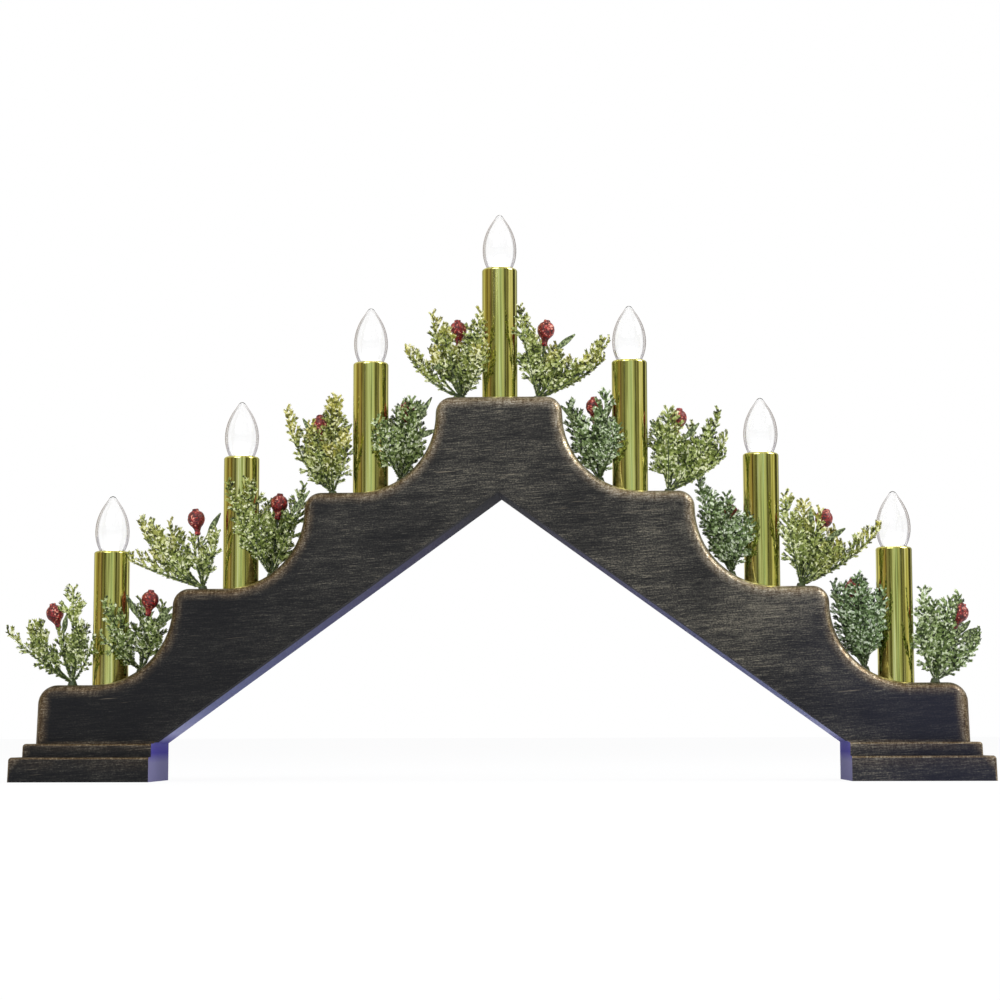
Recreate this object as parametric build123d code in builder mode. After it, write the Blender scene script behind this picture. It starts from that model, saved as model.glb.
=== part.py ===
from build123d import *
import os
from math import cos, radians, sin, sqrt, tan

os.makedirs("parts", exist_ok=True)

# Candle arch: a stepped, hollow moulded arch that stands on two feet and carries seven
# candle tubes with flame bulbs, with a berry sprig planted on each side of every tube.
# Millimetres. X runs along the arch, the front faces -Y, Z is up, and the origin is on
# the table under the middle of the arch.

# Overall form
tube_pitch = 54.6
tubes_each_side = 3
shelf_rise = 39.7
base_depth = 45.0
riser_reach = 26.3
end_reach = 27.3
foot_ledge = 8.9
foot_width = 58.0
nose_radius = 6.7
end_nose_radius = 8.0
end_wall_lean = 2.0
front_round = 4.5
front_round_share = 0.8
edge_margin = 1.8
wall = 1.8

# Plinth steps round each foot
lower_step_height = 10.1
upper_step_height = 5.5
step_front = 5.5
step_end = 4.3
plinth_round = 1.4
plinth_round_share = 0.25

# Candle tubes, bulbs, lamp holders and lamps
tube_diameter = 15.0
tube_height = 56.4
tube_wall = 1.9
rim_round = 1.1
rim_lip = 0.5
spigot_diameter = 12.0
spigot_length = 8.0
spigot_wall = 1.4
seat_gap = 0.15
spigot_gap = 0.1
socket_diameter = 19.0
socket_depth = 8.6
bulb_diameter = 14.6
bulb_height = 23.6
bulb_wall = 0.9
neck_length = 7.0
neck_gap = 0.1
holder_plug = 4.6
holder_flange = 2.0
holder_tail = 3.0
holder_tail_diameter = 5.6
lamp_diameter = 5.0
lamp_height = 8.6
lamp_flange = 1.0
lamp_flange_diameter = 5.8

# Back cover, its screws and the battery bay
cover_thickness = 2.0
cover_gap = 0.25
screw_shank = 2.6
screw_length = 9.5
screw_head = 5.4
screw_head_height = 1.5
screw_gap = 0.05
well_diameter = 7.4
well_floor = 1.2
well_depth = 5.0
head_gap = 0.25
boss_diameter = 6.4
screw_inset = 15.2
screw_drop = 13.4
top_screw_inset = 8.5
top_screw_drop = 7.4
foot_screw_inset = 11.2
cell_diameter = 10.5
cell_length = 44.5
cell_nub_diameter = 3.8
cell_nub = 0.8
cell_gap = 0.4
contact_room = 1.25
contact_sheet = 0.3
contact_width = 7.0
bay_wall = 1.0
bay_rise = 2.7
bay_headroom = 13.2
door_thickness = 1.8
door_gap = 0.25
hinge_depth = 1.5
hinge_pin = 1.6
hinge_pin_reach = 0.8
hinge_pin_gap = 0.08
tongue_width = 10.0
tongue_length = 6.0
tongue_slot = 0.9
grip_ribs = 3
grip_rib = 0.5
grip_rib_width = 7.0
grip_rib_pitch = 1.6
finger_radius = 4.5

# Slide switch
switch_x = 40.0
switch_drop = 13.2
switch_body_width = 14.0
switch_body_height = 7.0
switch_body_depth = 6.0
switch_wall = 1.0
switch_travel = 4.0
switch_recess = 1.1
switch_recess_margin = 2.5
knob_width = 3.6
knob_height = 3.0
knob_sunk = 0.3
knob_flange = 1.2
knob_flange_height = 4.2
knob_rib = 0.5
switch_gap = 0.1
slot_gap = 0.2

# Wiring
loom_diameter = 2.4
riser_wire_diameter = 1.6
loom_bend = 40.0
loom_back_set = 3.1
loom_rise = 18.0
lead_inset = 5.8

# Sprigs: each is planted by a peg and spreads a fan of toothed fronds, with two plain
# leaves and a wire stalk that carries the berry
outer_sprig_reach = 16.0
inner_sprig_reach = 12.8
peg_diameter = 3.0
peg_depth = 5.0
peg_gap = 0.1
collar_diameter = 4.4
collar_height = 1.8
sprig_reach = 40.0
frond_sheet = 0.8
frond_width_share = 0.13
frond_root_share = 0.03
frond_bow_share = 0.07
frond_teeth = 3
tooth_notch_share = 0.38
leaf_length = 8.5
leaf_width = 2.6
leaf_belly_share = 0.4
leaf_spread_share = 0.7
leaf_lean_share = 0.45
leaf_rise_share = 0.55
stalk_diameter = 1.1
stalk_grip_share = 0.8
berry_diameter = 7.2
berry_neck_diameter = 2.8
berry_neck_length = 3.2
berry_crown_diameter = 2.6
berry_crown_height = 0.9
stalk_gap = 0.08

# One overrun serves every cut
overrun = 0.5

# Worked out from the sizes above
top_height = shelf_rise * (tubes_each_side + 1)
plinth_height = lower_step_height + upper_step_height
cove_radius = shelf_rise - nose_radius
back_y = base_depth / 2
lower_front_y = -base_depth / 2
upper_front_y = lower_front_y + step_front
body_front_y = upper_front_y + step_front
tube_y = (body_front_y + back_y) / 2
end_wall_x = tube_pitch * tubes_each_side + end_reach
base_half_width = end_wall_x + foot_ledge
foot_inner_x = base_half_width - foot_width
bay_width = cell_length + 2 * contact_room
bay_height = 2 * cell_diameter + 3 * cell_gap
apex_height = top_height - bay_headroom - bay_height - 2 * bay_wall - bay_rise
soffit_slope = (apex_height - plinth_height) / foot_inner_x
soffit_stretch = sqrt(1 + soffit_slope ** 2)
lean = radians(end_wall_lean)
cover_front_y = back_y - cover_thickness
bay_bottom = apex_height + bay_rise + bay_wall
bay_middle = bay_bottom + bay_height / 2
door_inner_y = back_y - door_thickness
bay_floor_y = door_inner_y - cell_diameter - 2 * cell_gap
hinge_y = back_y - hinge_depth
hinge_z = bay_bottom + door_gap + hinge_depth
well_bottom_y = back_y - well_depth
switch_z = apex_height - switch_drop
loom_y = tube_y - loom_back_set
loom_apex = apex_height + loom_rise
tube_places = range(-tubes_each_side, tubes_each_side + 1)


def tube_x(place):
    return place * tube_pitch


def shelf_z(place):
    return top_height - abs(place) * shelf_rise


def surface_z(place, offset):
    """Height of the stepped top beside a tube: flat shelf outward, rising cove inward."""
    if place == 0 or place * offset > 0:
        return shelf_z(place)
    cove_start = riser_reach + (abs(place) - 1) * tube_pitch + cove_radius
    run = min(max(cove_start - abs(tube_x(place) + offset), 0), cove_radius)
    return shelf_z(place) + cove_radius - sqrt(cove_radius ** 2 - run ** 2)


def surface_slope(place, offset):
    run = surface_z(place, offset) - shelf_z(place)
    if run <= 0:
        return 0
    return sqrt(cove_radius ** 2 - (cove_radius - run) ** 2) / (cove_radius - run)


def seat_rise(place):
    """Height above the shelf that clears the rising cove round a tube's socket."""
    edge = -socket_diameter / 2 if place > 0 else socket_diameter / 2
    return surface_z(place, edge) - shelf_z(place) + overrun


def half_outline(inset):
    """Half of the body's front outline, moved inwards by inset, from the middle of the top."""
    last = (0, top_height - inset)
    for step in range(tubes_each_side):
        riser = riser_reach + step * tube_pitch
        top = top_height - step * shelf_rise
        Line(last, (riser - nose_radius, top - inset))
        CenterArc((riser - nose_radius, top - nose_radius), nose_radius - inset, 90, -90)
        CenterArc((riser + cove_radius, top - nose_radius), cove_radius + inset, 180, 90)
        last = (riser + cove_radius, top - shelf_rise - inset)
    centre_x = end_wall_x - end_nose_radius
    centre_z = shelf_rise - end_nose_radius
    reach = end_nose_radius - inset
    Line(last, (centre_x, shelf_rise - inset))
    CenterArc((centre_x, centre_z), reach, 90, end_wall_lean - 90)
    wall_top = (centre_x + reach * cos(lean), centre_z + reach * sin(lean))
    wall_foot = (wall_top[0] + (wall_top[1] - inset) * tan(lean), inset)
    inner_x = foot_inner_x + inset
    soffit_foot = apex_height + inset * soffit_stretch - soffit_slope * inner_x
    Polyline(
        wall_top, wall_foot, (inner_x, inset), (inner_x, soffit_foot),
        (0, apex_height + inset * soffit_stretch),
    )
    Line((0, apex_height + inset * soffit_stretch), (0, top_height - inset))


def body_outline(inset):
    """The body's whole front outline, moved inwards by inset."""
    with BuildSketch() as outline:
        with BuildLine():
            half_outline(inset)
        make_face()
        mirror(about=Plane.YZ)
    return outline.sketch


def step_end_x(level):
    """Outer end of a plinth step at its foot; level 0 is the lower step, 1 the upper one."""
    return base_half_width - level * step_end


def step_outline(level, inset):
    """Front outline of one plinth step of the right foot, moved inwards by inset."""
    height = lower_step_height if level == 0 else plinth_height
    lean_in = (height - inset) * tan(lean)
    outer = step_end_x(level) - inset
    inner = foot_inner_x + inset
    with BuildSketch() as outline:
        with BuildLine():
            Polyline(
                (inner, inset), (outer, inset), (outer - lean_in, height - inset),
                (inner, height - inset), close=True,
            )
        make_face()
    return outline.sketch


def plinth_step(level):
    """One solid step of the right foot, with its top and front corner edges rounded."""
    front = (lower_front_y, upper_front_y)[level]
    height = (lower_step_height, plinth_height)[level]
    with BuildPart() as step:
        with BuildSketch(Plane.XZ.offset(-back_y)):
            add(step_outline(level, 0))
        extrude(amount=back_y - front)
        top_edges = step.faces().sort_by(Axis.Z)[-1].edges()
        round_edges = top_edges.sort_by(Axis.Y)[:1] + top_edges.sort_by(Axis.X)[-1:]
        corner = step.faces().sort_by(Axis.Y)[0].edges().sort_by(Axis.X)[-1:]
        fillet(round_edges + corner, min(plinth_round, height * plinth_round_share))
    return step.part


def is_rounded(edge):
    """True for the stepped top and outer edges of the front, not the soffit or the feet."""
    middle = edge.center()
    soffit = apex_height - soffit_slope * abs(middle.X)
    return middle.Z > edge_margin and middle.Z - soffit > edge_margin


def screw_places():
    """Two screws beside the top tube and one for each nose and foot on either side."""
    places = [(riser_reach - top_screw_inset, top_height - top_screw_drop)]
    for step in range(1, tubes_each_side):
        riser = riser_reach + step * tube_pitch
        places.append((riser - screw_inset, top_height - step * shelf_rise - screw_drop))
    places.append((end_wall_x - foot_screw_inset, shelf_rise - screw_drop))
    return [(side * x, z) for x, z in places for side in (-1, 1)]


def sprig_sides(place):
    """Offsets of the two sprigs of a tube; the one towards the middle stands on the cove."""
    if place == 0:
        return (-outer_sprig_reach, outer_sprig_reach)
    if place < 0:
        return (-outer_sprig_reach, inner_sprig_reach)
    return (-inner_sprig_reach, outer_sprig_reach)


# Outer form of the arch: body with rounded front edges, and the plinth steps of both feet
with BuildPart() as arch_form:
    with BuildSketch(Plane.XZ.offset(-back_y)):
        add(body_outline(0))
    extrude(amount=back_y - body_front_y)
    front_edges = arch_form.faces().sort_by(Axis.Y)[0].edges().filter_by(is_rounded)
    fillet(front_edges, min(front_round, nose_radius * front_round_share))
    for level in (0, 1):
        right_step = plinth_step(level)
        add(right_step)
        add(mirror(right_step, about=Plane.YZ, mode=Mode.PRIVATE))

# Hollow of the arch, with the sockets of the tubes and the screw bosses left standing
with BuildPart() as arch_hollow:
    with BuildSketch(Plane.XZ.offset(-back_y)):
        add(body_outline(wall))
    extrude(amount=back_y - body_front_y - wall)
    for level, front in enumerate((lower_front_y, upper_front_y)):
        with BuildSketch(Plane.XZ.offset(-back_y)):
            add(step_outline(level, wall))
            mirror(about=Plane.YZ)
        extrude(amount=back_y - front - wall)
    for place in tube_places:
        with BuildSketch(Plane.XY.offset(shelf_z(place) - socket_depth)):
            with Locations((tube_x(place), tube_y)):
                Circle(socket_diameter / 2)
        extrude(amount=socket_depth + seat_rise(place), mode=Mode.SUBTRACT)
    with BuildSketch(Plane.XZ.offset(-well_bottom_y)):
        with Locations(*screw_places()):
            Circle(boss_diameter / 2)
    extrude(amount=well_bottom_y - body_front_y, mode=Mode.SUBTRACT)

with BuildPart() as arch_housing:
    add(arch_form.part)
    add(arch_hollow.part, mode=Mode.SUBTRACT)
    for place in tube_places:
        seat_plane = Plane.XY.offset(shelf_z(place))
        with BuildSketch(seat_plane):
            with Locations((tube_x(place), tube_y)):
                Circle(tube_diameter / 2 + seat_gap)
        extrude(amount=seat_rise(place), mode=Mode.SUBTRACT)
        with BuildSketch(seat_plane.offset(overrun)):
            with Locations((tube_x(place), tube_y)):
                Circle(spigot_diameter / 2 + spigot_gap)
        extrude(amount=-socket_depth - 2 * overrun, mode=Mode.SUBTRACT)
        for offset in sprig_sides(place):
            with BuildSketch(Plane.XY.offset(surface_z(place, offset) + nose_radius)):
                with Locations((tube_x(place) + offset, tube_y)):
                    Circle(peg_diameter / 2 + peg_gap)
            extrude(amount=-2 * nose_radius, mode=Mode.SUBTRACT)
    with BuildSketch(Plane.XZ.offset(-well_bottom_y - overrun)):
        with Locations(*screw_places()):
            Circle(screw_shank / 2 + screw_gap)
    extrude(amount=screw_length + overrun, mode=Mode.SUBTRACT)
arch_housing.part.label = "arch_housing"
export_step(arch_housing.part, "parts/arch_housing.step")

# Back cover: a flush panel inside the rim, with screw wells, the battery bay and two slots
with BuildPart() as back_cover:
    with BuildSketch(Plane.XZ.offset(-back_y)):
        add(body_outline(wall + cover_gap))
        for level in (0, 1):
            add(step_outline(level, wall + cover_gap))
        mirror(about=Plane.YZ)
    extrude(amount=cover_thickness)
    with BuildSketch(Plane.XZ.offset(-back_y)):
        with Locations(*screw_places()):
            Circle(well_diameter / 2)
    extrude(amount=well_depth)
    with BuildSketch(Plane.XZ.offset(-back_y)):
        with Locations((0, bay_middle)):
            Rectangle(bay_width + 2 * bay_wall, bay_height + 2 * bay_wall)
    extrude(amount=back_y - bay_floor_y + bay_wall)
    with BuildSketch(Plane.XZ.offset(-back_y)):
        with Locations(*screw_places()):
            Circle(screw_head / 2 + head_gap)
    extrude(amount=well_depth - well_floor, mode=Mode.SUBTRACT)
    with BuildSketch(Plane.XZ.offset(-back_y)):
        with Locations(*screw_places()):
            Circle(screw_shank / 2 + head_gap)
    extrude(amount=well_depth + overrun, mode=Mode.SUBTRACT)
    with BuildSketch(Plane.XZ.offset(-back_y)):
        with Locations((0, bay_middle)):
            Rectangle(bay_width, bay_height)
    extrude(amount=back_y - bay_floor_y, mode=Mode.SUBTRACT)
    with BuildSketch(Plane.YZ.offset(-bay_width / 2 - hinge_pin_reach - door_gap)):
        with Locations((hinge_y, hinge_z)):
            Circle(hinge_pin / 2 + hinge_pin_gap)
    extrude(amount=bay_width + 2 * hinge_pin_reach + 2 * door_gap, mode=Mode.SUBTRACT)
    with BuildSketch(Plane.XZ.offset(-back_y)):
        with Locations((0, bay_bottom + bay_height)):
            Circle(finger_radius)
    extrude(amount=door_thickness / 2, mode=Mode.SUBTRACT)
    slot_width = knob_width + switch_travel + 2 * slot_gap
    slot_height = knob_height + 2 * slot_gap
    with BuildSketch(Plane.XZ.offset(-back_y)):
        with Locations((switch_x - switch_travel / 2, switch_z)):
            Rectangle(slot_width + switch_recess_margin, slot_height + switch_recess_margin)
    extrude(amount=switch_recess, mode=Mode.SUBTRACT)
    with BuildSketch(Plane.XZ.offset(-back_y)):
        with Locations((switch_x - switch_travel / 2, switch_z)):
            Rectangle(slot_width, slot_height)
    extrude(amount=cover_thickness, mode=Mode.SUBTRACT)
back_cover.part.label = "back_cover"
export_step(back_cover.part, "parts/back_cover.step")

# Cover screws: pan heads down in the wells, shanks in the bosses of the housing
head_seat_y = well_bottom_y + well_floor
with BuildPart() as cover_screws:
    with BuildSketch(Plane.XZ.offset(-head_seat_y - screw_head_height)):
        with Locations(*screw_places()):
            Circle(screw_head / 2)
    extrude(amount=screw_head_height)
    with BuildSketch(Plane.XZ.offset(-head_seat_y)):
        with Locations(*screw_places()):
            Circle(screw_shank / 2)
    extrude(amount=screw_length)
cover_screws.part.label = "cover_screws"
export_step(cover_screws.part, "parts/cover_screws.step")

# Battery door: a plate with a rolled lower edge that turns on two pins, and a snap tongue
door_width = bay_width - 2 * door_gap
door_top = bay_bottom + bay_height - door_gap
with BuildPart() as battery_door:
    with BuildSketch(Plane.YZ.offset(-door_width / 2)):
        with Locations((hinge_y, hinge_z)):
            Circle(hinge_depth)
        with BuildLine():
            Polyline(
                (back_y, hinge_z), (back_y, door_top), (door_inner_y, door_top),
                (door_inner_y, hinge_z), close=True,
            )
        make_face()
    extrude(amount=door_width)
    with BuildSketch(Plane.YZ.offset(-door_width / 2 - hinge_pin_reach)):
        with Locations((hinge_y, hinge_z)):
            Circle(hinge_pin / 2)
    extrude(amount=door_width + 2 * hinge_pin_reach)
    tongue_middle = door_top - tongue_length / 2
    with BuildSketch(Plane.XZ.offset(-back_y)):
        with Locations((-tongue_width / 2, tongue_middle), (tongue_width / 2, tongue_middle)):
            Rectangle(tongue_slot, tongue_length + overrun)
    extrude(amount=door_thickness, mode=Mode.SUBTRACT)
    with BuildSketch(Plane.XZ.offset(-back_y)):
        for rib in range(grip_ribs):
            with Locations((0, door_top - (rib + 1) * grip_rib_pitch)):
                Rectangle(grip_rib_width, grip_rib)
    extrude(amount=grip_rib, mode=Mode.SUBTRACT)
battery_door.part.label = "battery_door"
export_step(battery_door.part, "parts/battery_door.step")

# Two cells, side by side and turned end for end
cell_y = bay_floor_y + cell_gap + cell_diameter / 2
cell_rows = [
    (1, bay_bottom + cell_gap + cell_diameter / 2),
    (-1, bay_bottom + 2 * cell_gap + cell_diameter * 3 / 2),
]
with BuildPart() as batteries:
    for turn, row_z in cell_rows:
        with BuildSketch(Plane.YZ.offset(-turn * cell_length / 2)):
            with Locations((cell_y, row_z)):
                Circle(cell_diameter / 2)
        extrude(amount=turn * (cell_length - cell_nub))
        with BuildSketch(Plane.YZ.offset(turn * (cell_length / 2 - cell_nub))):
            with Locations((cell_y, row_z)):
                Circle(cell_nub_diameter / 2)
        extrude(amount=turn * cell_nub)
batteries.part.label = "batteries"
export_step(batteries.part, "parts/batteries.step")

# Battery contacts: bowed strips against the ends of the bay, one of them joining both cells
with BuildPart() as battery_contacts:
    bow = contact_room - contact_sheet - seat_gap
    for side in (-1, 1):
        for turn, row_z in cell_rows:
            half = contact_width / 2
            wall_x = side * bay_width / 2
            with BuildSketch(Plane.XY.offset(row_z - half)):
                with BuildLine():
                    Polyline(
                        (wall_x, cell_y - half), (wall_x, cell_y + half),
                        (wall_x - side * contact_sheet, cell_y + half),
                        (wall_x - side * (contact_sheet + bow), cell_y),
                        (wall_x - side * contact_sheet, cell_y - half), close=True,
                    )
                make_face()
            extrude(amount=contact_width)
    bridge_z = (cell_rows[0][1] + cell_rows[1][1]) / 2
    with BuildSketch(Plane.YZ.offset(-bay_width / 2)):
        with Locations((cell_y, bridge_z)):
            Rectangle(contact_width, cell_rows[1][1] - cell_rows[0][1])
    extrude(amount=contact_sheet)
battery_contacts.part.label = "battery_contacts"
export_step(battery_contacts.part, "parts/battery_contacts.step")

# Slide switch: the fixed case behind the cover and the knob that travels in its slot
case_front_y = cover_front_y - switch_body_depth
case_open = switch_body_height - 2 * switch_wall
with BuildPart() as switch_case:
    with BuildSketch(Plane.XZ.offset(-cover_front_y)):
        with Locations((switch_x - switch_travel / 2, switch_z)):
            Rectangle(switch_body_width, switch_body_height)
    extrude(amount=switch_body_depth)
    with BuildSketch(Plane.XZ.offset(-cover_front_y)):
        with Locations((switch_x - switch_travel / 2, switch_z)):
            Rectangle(switch_body_width - 2 * switch_wall, case_open)
    extrude(amount=switch_body_depth / 2, mode=Mode.SUBTRACT)
switch_case.part.label = "switch_case"
export_step(switch_case.part, "parts/switch_case.step")

knob_top_y = back_y - knob_sunk
with BuildPart() as switch_knob:
    with BuildSketch(Plane.XZ.offset(-knob_top_y)):
        with Locations((switch_x, switch_z)):
            Rectangle(knob_width, knob_height)
    extrude(amount=knob_top_y - cover_front_y + switch_gap)
    with BuildSketch(Plane.XZ.offset(-cover_front_y + switch_gap)):
        with Locations((switch_x, switch_z)):
            Rectangle(knob_width + 2 * switch_wall, knob_flange_height)
    extrude(amount=knob_flange)
    with BuildSketch(Plane.XZ.offset(-knob_top_y)):
        with Locations((switch_x - knob_rib, switch_z), (switch_x + knob_rib, switch_z)):
            Rectangle(knob_rib, knob_height)
    extrude(amount=knob_rib, mode=Mode.SUBTRACT)
switch_knob.part.label = "switch_knob"
export_step(switch_knob.part, "parts/switch_knob.step")


def loom_z(x):
    """Height of the loom's middle line under a tube, by its runs and its bend at the apex."""
    tangent_x = loom_bend * soffit_slope / soffit_stretch
    if abs(x) >= tangent_x:
        return loom_apex - soffit_slope * abs(x)
    return loom_apex - loom_bend * soffit_stretch + sqrt(loom_bend ** 2 - x ** 2)


# Wiring loom: one bundle that follows the soffit under all the tubes, with a riser up each
# tube to its lamp holder, and leads from the battery bay and the switch
holder_bottom = neck_length + holder_flange + holder_tail
with BuildPart() as wiring_loom:
    loom_end_x = tube_pitch * tubes_each_side
    with BuildLine():
        FilletPolyline(
            (-loom_end_x, loom_y, loom_z(loom_end_x)), (0, loom_y, loom_apex),
            (loom_end_x, loom_y, loom_z(loom_end_x)), radius=loom_bend,
        )
    run_direction = (1, 0, soffit_slope)
    run_start = (-loom_end_x, loom_y, loom_z(loom_end_x))
    with BuildSketch(Plane(origin=run_start, z_dir=run_direction)):
        Circle(loom_diameter / 2)
    sweep()
    for place in tube_places:
        wire_top = shelf_z(place) + tube_height - holder_bottom
        with BuildSketch(Plane.XY.offset(loom_z(tube_x(place)))):
            with Locations((tube_x(place), loom_y)):
                Circle(riser_wire_diameter / 2)
        extrude(amount=wire_top - loom_z(tube_x(place)))
    lead_x = bay_width / 2 - lead_inset
    for side in (-1, 1):
        with BuildSketch(Plane.XZ.offset(-bay_floor_y + bay_wall)):
            with Locations((side * lead_x, loom_z(lead_x))):
                Circle(riser_wire_diameter / 2)
        extrude(amount=bay_floor_y - bay_wall - loom_y)
    with BuildSketch(Plane.XZ.offset(-case_front_y)):
        with Locations((switch_x, switch_z)):
            Circle(riser_wire_diameter / 2)
    extrude(amount=case_front_y - loom_y + riser_wire_diameter / 2)
    with BuildSketch(Plane.XY.offset(switch_z)):
        with Locations((switch_x, loom_y)):
            Circle(riser_wire_diameter / 2)
    extrude(amount=loom_z(switch_x) - switch_z)
wiring_loom.part.label = "wiring_loom"
export_step(wiring_loom.part, "parts/wiring_loom.step")


def candle_tube(place):
    """A metal-coated tube with a rolled rim, plugged by its spigot into the shelf."""
    outer = tube_diameter / 2
    bore = outer - tube_wall
    spigot = spigot_diameter / 2
    with BuildPart() as tube:
        with BuildSketch(Plane.XZ):
            with BuildLine():
                Polyline(
                    (bore, tube_height - rim_lip), (bore, 0), (spigot - spigot_wall, 0),
                    (spigot - spigot_wall, -spigot_length), (spigot, -spigot_length),
                    (spigot, 0), (outer, 0), (outer, tube_height - rim_round),
                )
                CenterArc((outer - rim_round, tube_height - rim_round), rim_round, 0, 90)
                Polyline(
                    (outer - rim_round, tube_height), (bore + rim_lip, tube_height),
                    (bore, tube_height - rim_lip),
                )
            make_face()
        revolve(axis=Axis.Z)
    return Pos(tube_x(place), tube_y, shelf_z(place)) * tube.part


neck_radius = tube_diameter / 2 - tube_wall - neck_gap
neck_bore = neck_radius - bulb_wall


# Ends and middles of the flame's arcs, as shares of the bulb's height and of its radius
flame_shares = [
    (0.00, 0.72), (0.16, 0.94), (0.37, 1.00), (0.60, 0.86), (0.80, 0.56), (0.92, 0.27), (1.00, 0.06),
]


def bulb(place):
    """A clear hollow flame moulding whose neck plugs into the tube."""
    belly = bulb_diameter / 2
    outer = [(belly * across, bulb_height * up) for up, across in flame_shares]
    inner = [(x - bulb_wall, z) for x, z in outer if x > 2 * bulb_wall]
    with BuildPart() as flame:
        with BuildSketch(Plane.XZ):
            with BuildLine():
                for start in range(0, len(outer) - 1, 2):
                    ThreePointArc(*outer[start:start + 3])
                Polyline(
                    outer[-1], (0, bulb_height), (0, -neck_length), (neck_radius, -neck_length),
                    (neck_radius, 0), outer[0],
                )
            make_face()
        revolve(axis=Axis.Z)
        with BuildSketch(Plane.XZ):
            with BuildLine():
                Polyline(
                    (0, -neck_length), (neck_bore, -neck_length), (neck_bore, 0), *inner,
                    (0, inner[-1][1] + bulb_wall), close=True,
                )
            make_face()
        revolve(axis=Axis.Z, mode=Mode.SUBTRACT)
    return Pos(tube_x(place), tube_y, shelf_z(place) + tube_height) * flame.part


def lamp_holder(place):
    """A stepped insert that plugs the bulb's neck from below and carries the lamp."""
    with BuildPart() as holder:
        with BuildSketch(Plane.XZ):
            with BuildLine():
                Polyline(
                    (0, 0), (holder_tail_diameter / 2, 0), (holder_tail_diameter / 2, holder_tail),
                    (neck_radius, holder_tail), (neck_radius, holder_tail + holder_flange),
                    (neck_bore - neck_gap, holder_tail + holder_flange),
                    (neck_bore - neck_gap, holder_tail + holder_flange + holder_plug),
                    (0, holder_tail + holder_flange + holder_plug), close=True,
                )
            make_face()
        revolve(axis=Axis.Z)
    return Pos(tube_x(place), tube_y, shelf_z(place) + tube_height - holder_bottom) * holder.part


for place in tube_places:
    number = place + tubes_each_side + 1
    for name, piece in (
        ("candle_tube", candle_tube(place)),
        ("bulb", bulb(place)),
        ("lamp_holder", lamp_holder(place)),
    ):
        piece.label = f"{name}_{number}"
        export_step(piece, f"parts/{name}_{number}.step")

# Lamps: seven light-emitting diodes standing on their holders, as one group
with BuildPart() as lamp_form:
    lamp_radius = lamp_diameter / 2
    with BuildSketch(Plane.XZ):
        with BuildLine():
            Polyline(
                (0, lamp_height), (0, 0), (lamp_flange_diameter / 2, 0),
                (lamp_flange_diameter / 2, lamp_flange), (lamp_radius, lamp_flange),
                (lamp_radius, lamp_height - lamp_radius),
            )
            CenterArc((0, lamp_height - lamp_radius), lamp_radius, 0, 90)
        make_face()
    revolve(axis=Axis.Z)
with BuildPart() as lamps:
    for place in tube_places:
        lamp_base = shelf_z(place) + tube_height - neck_length + holder_plug
        with Locations((tube_x(place), tube_y, lamp_base)):
            add(lamp_form.part)
lamps.part.label = "lamps"
export_step(lamps.part, "parts/lamps.step")

# Tips of the fronds of each sprig, from the left end of the arch to the right one, as
# shares of the sprig's reach: sideways, backwards and up from where it is planted
frond_tip_shares = [
    [(-0.53, -0.64, 0.54), (-0.50, 0.10, 0.62), (-0.36, -0.20, 0.68), (-0.02, 0.24, 0.88),
     (0.02, -0.12, 1.00), (0.30, -0.34, 0.52)],
    [(-0.32, -0.50, 0.38), (-0.30, -0.44, 0.72), (-0.05, 0.22, 0.78), (0.22, 0.05, 0.72),
     (0.20, -0.20, 0.52)],
    [(-0.76, -0.08, 0.32), (-0.70, 0.06, 0.75), (-0.55, -0.16, 0.70), (-0.40, 0.24, 0.74),
     (-0.10, -0.08, 0.58), (0.20, -0.30, 0.58)],
    [(-0.38, -0.54, 0.94), (-0.20, -0.40, 1.00), (-0.06, 0.20, 0.82), (0.33, 0.10, 0.98),
     (0.20, -0.12, 0.66)],
    [(-0.49, -0.05, 0.89), (-0.30, 0.20, 0.78), (-0.04, 0.22, 1.04), (0.06, -0.18, 1.00),
     (-0.20, -0.25, 0.70), (0.20, -0.30, 0.60)],
    [(-0.22, -0.44, 0.60), (-0.02, 0.16, 0.84), (0.12, -0.12, 0.86), (0.20, 0.12, 0.84),
     (0.22, -0.05, 0.56)],
    [(-0.59, -0.05, 0.54), (-0.32, 0.08, 0.94), (-0.18, -0.20, 0.74), (0.00, 0.22, 0.80),
     (0.22, -0.34, 0.88), (0.28, -0.38, 0.54)],
    [(-0.18, -0.32, 0.94), (-0.04, 0.18, 0.80), (0.24, -0.14, 0.50), (0.20, 0.22, 0.60),
     (0.75, -0.10, 0.62), (0.70, 0.12, 0.46)],
    [(-0.32, 0.08, 0.84), (-0.22, -0.14, 0.66), (0.02, 0.14, 0.74), (0.08, -0.18, 0.90),
     (0.20, -0.44, 0.54)],
    [(-0.12, 0.16, 0.76), (0.00, -0.16, 0.84), (0.28, 0.20, 0.72), (0.53, -0.05, 0.85),
     (0.62, 0.10, 0.60), (0.58, -0.20, 0.37)],
    [(-0.32, 0.08, 1.02), (-0.22, -0.12, 0.84), (-0.04, 0.04, 0.84), (0.18, -0.46, 0.58),
     (-0.10, -0.24, 0.50)],
    [(-0.18, -0.30, 0.92), (0.06, 0.14, 0.90), (0.20, -0.12, 0.78), (0.38, 0.16, 0.62),
     (0.80, -0.22, 0.60), (0.36, -0.28, 0.42)],
    [(-0.30, 0.06, 0.90), (-0.22, -0.12, 0.88), (0.00, 0.24, 0.90), (0.14, -0.44, 0.80),
     (-0.05, -0.24, 0.55)],
    [(-0.14, -0.20, 0.94), (0.02, 0.14, 0.84), (0.14, -0.20, 0.84), (0.30, 0.20, 0.90),
     (0.53, 0.36, 0.54), (-0.22, -0.34, 0.58), (0.45, -0.10, 0.45)],
]
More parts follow.
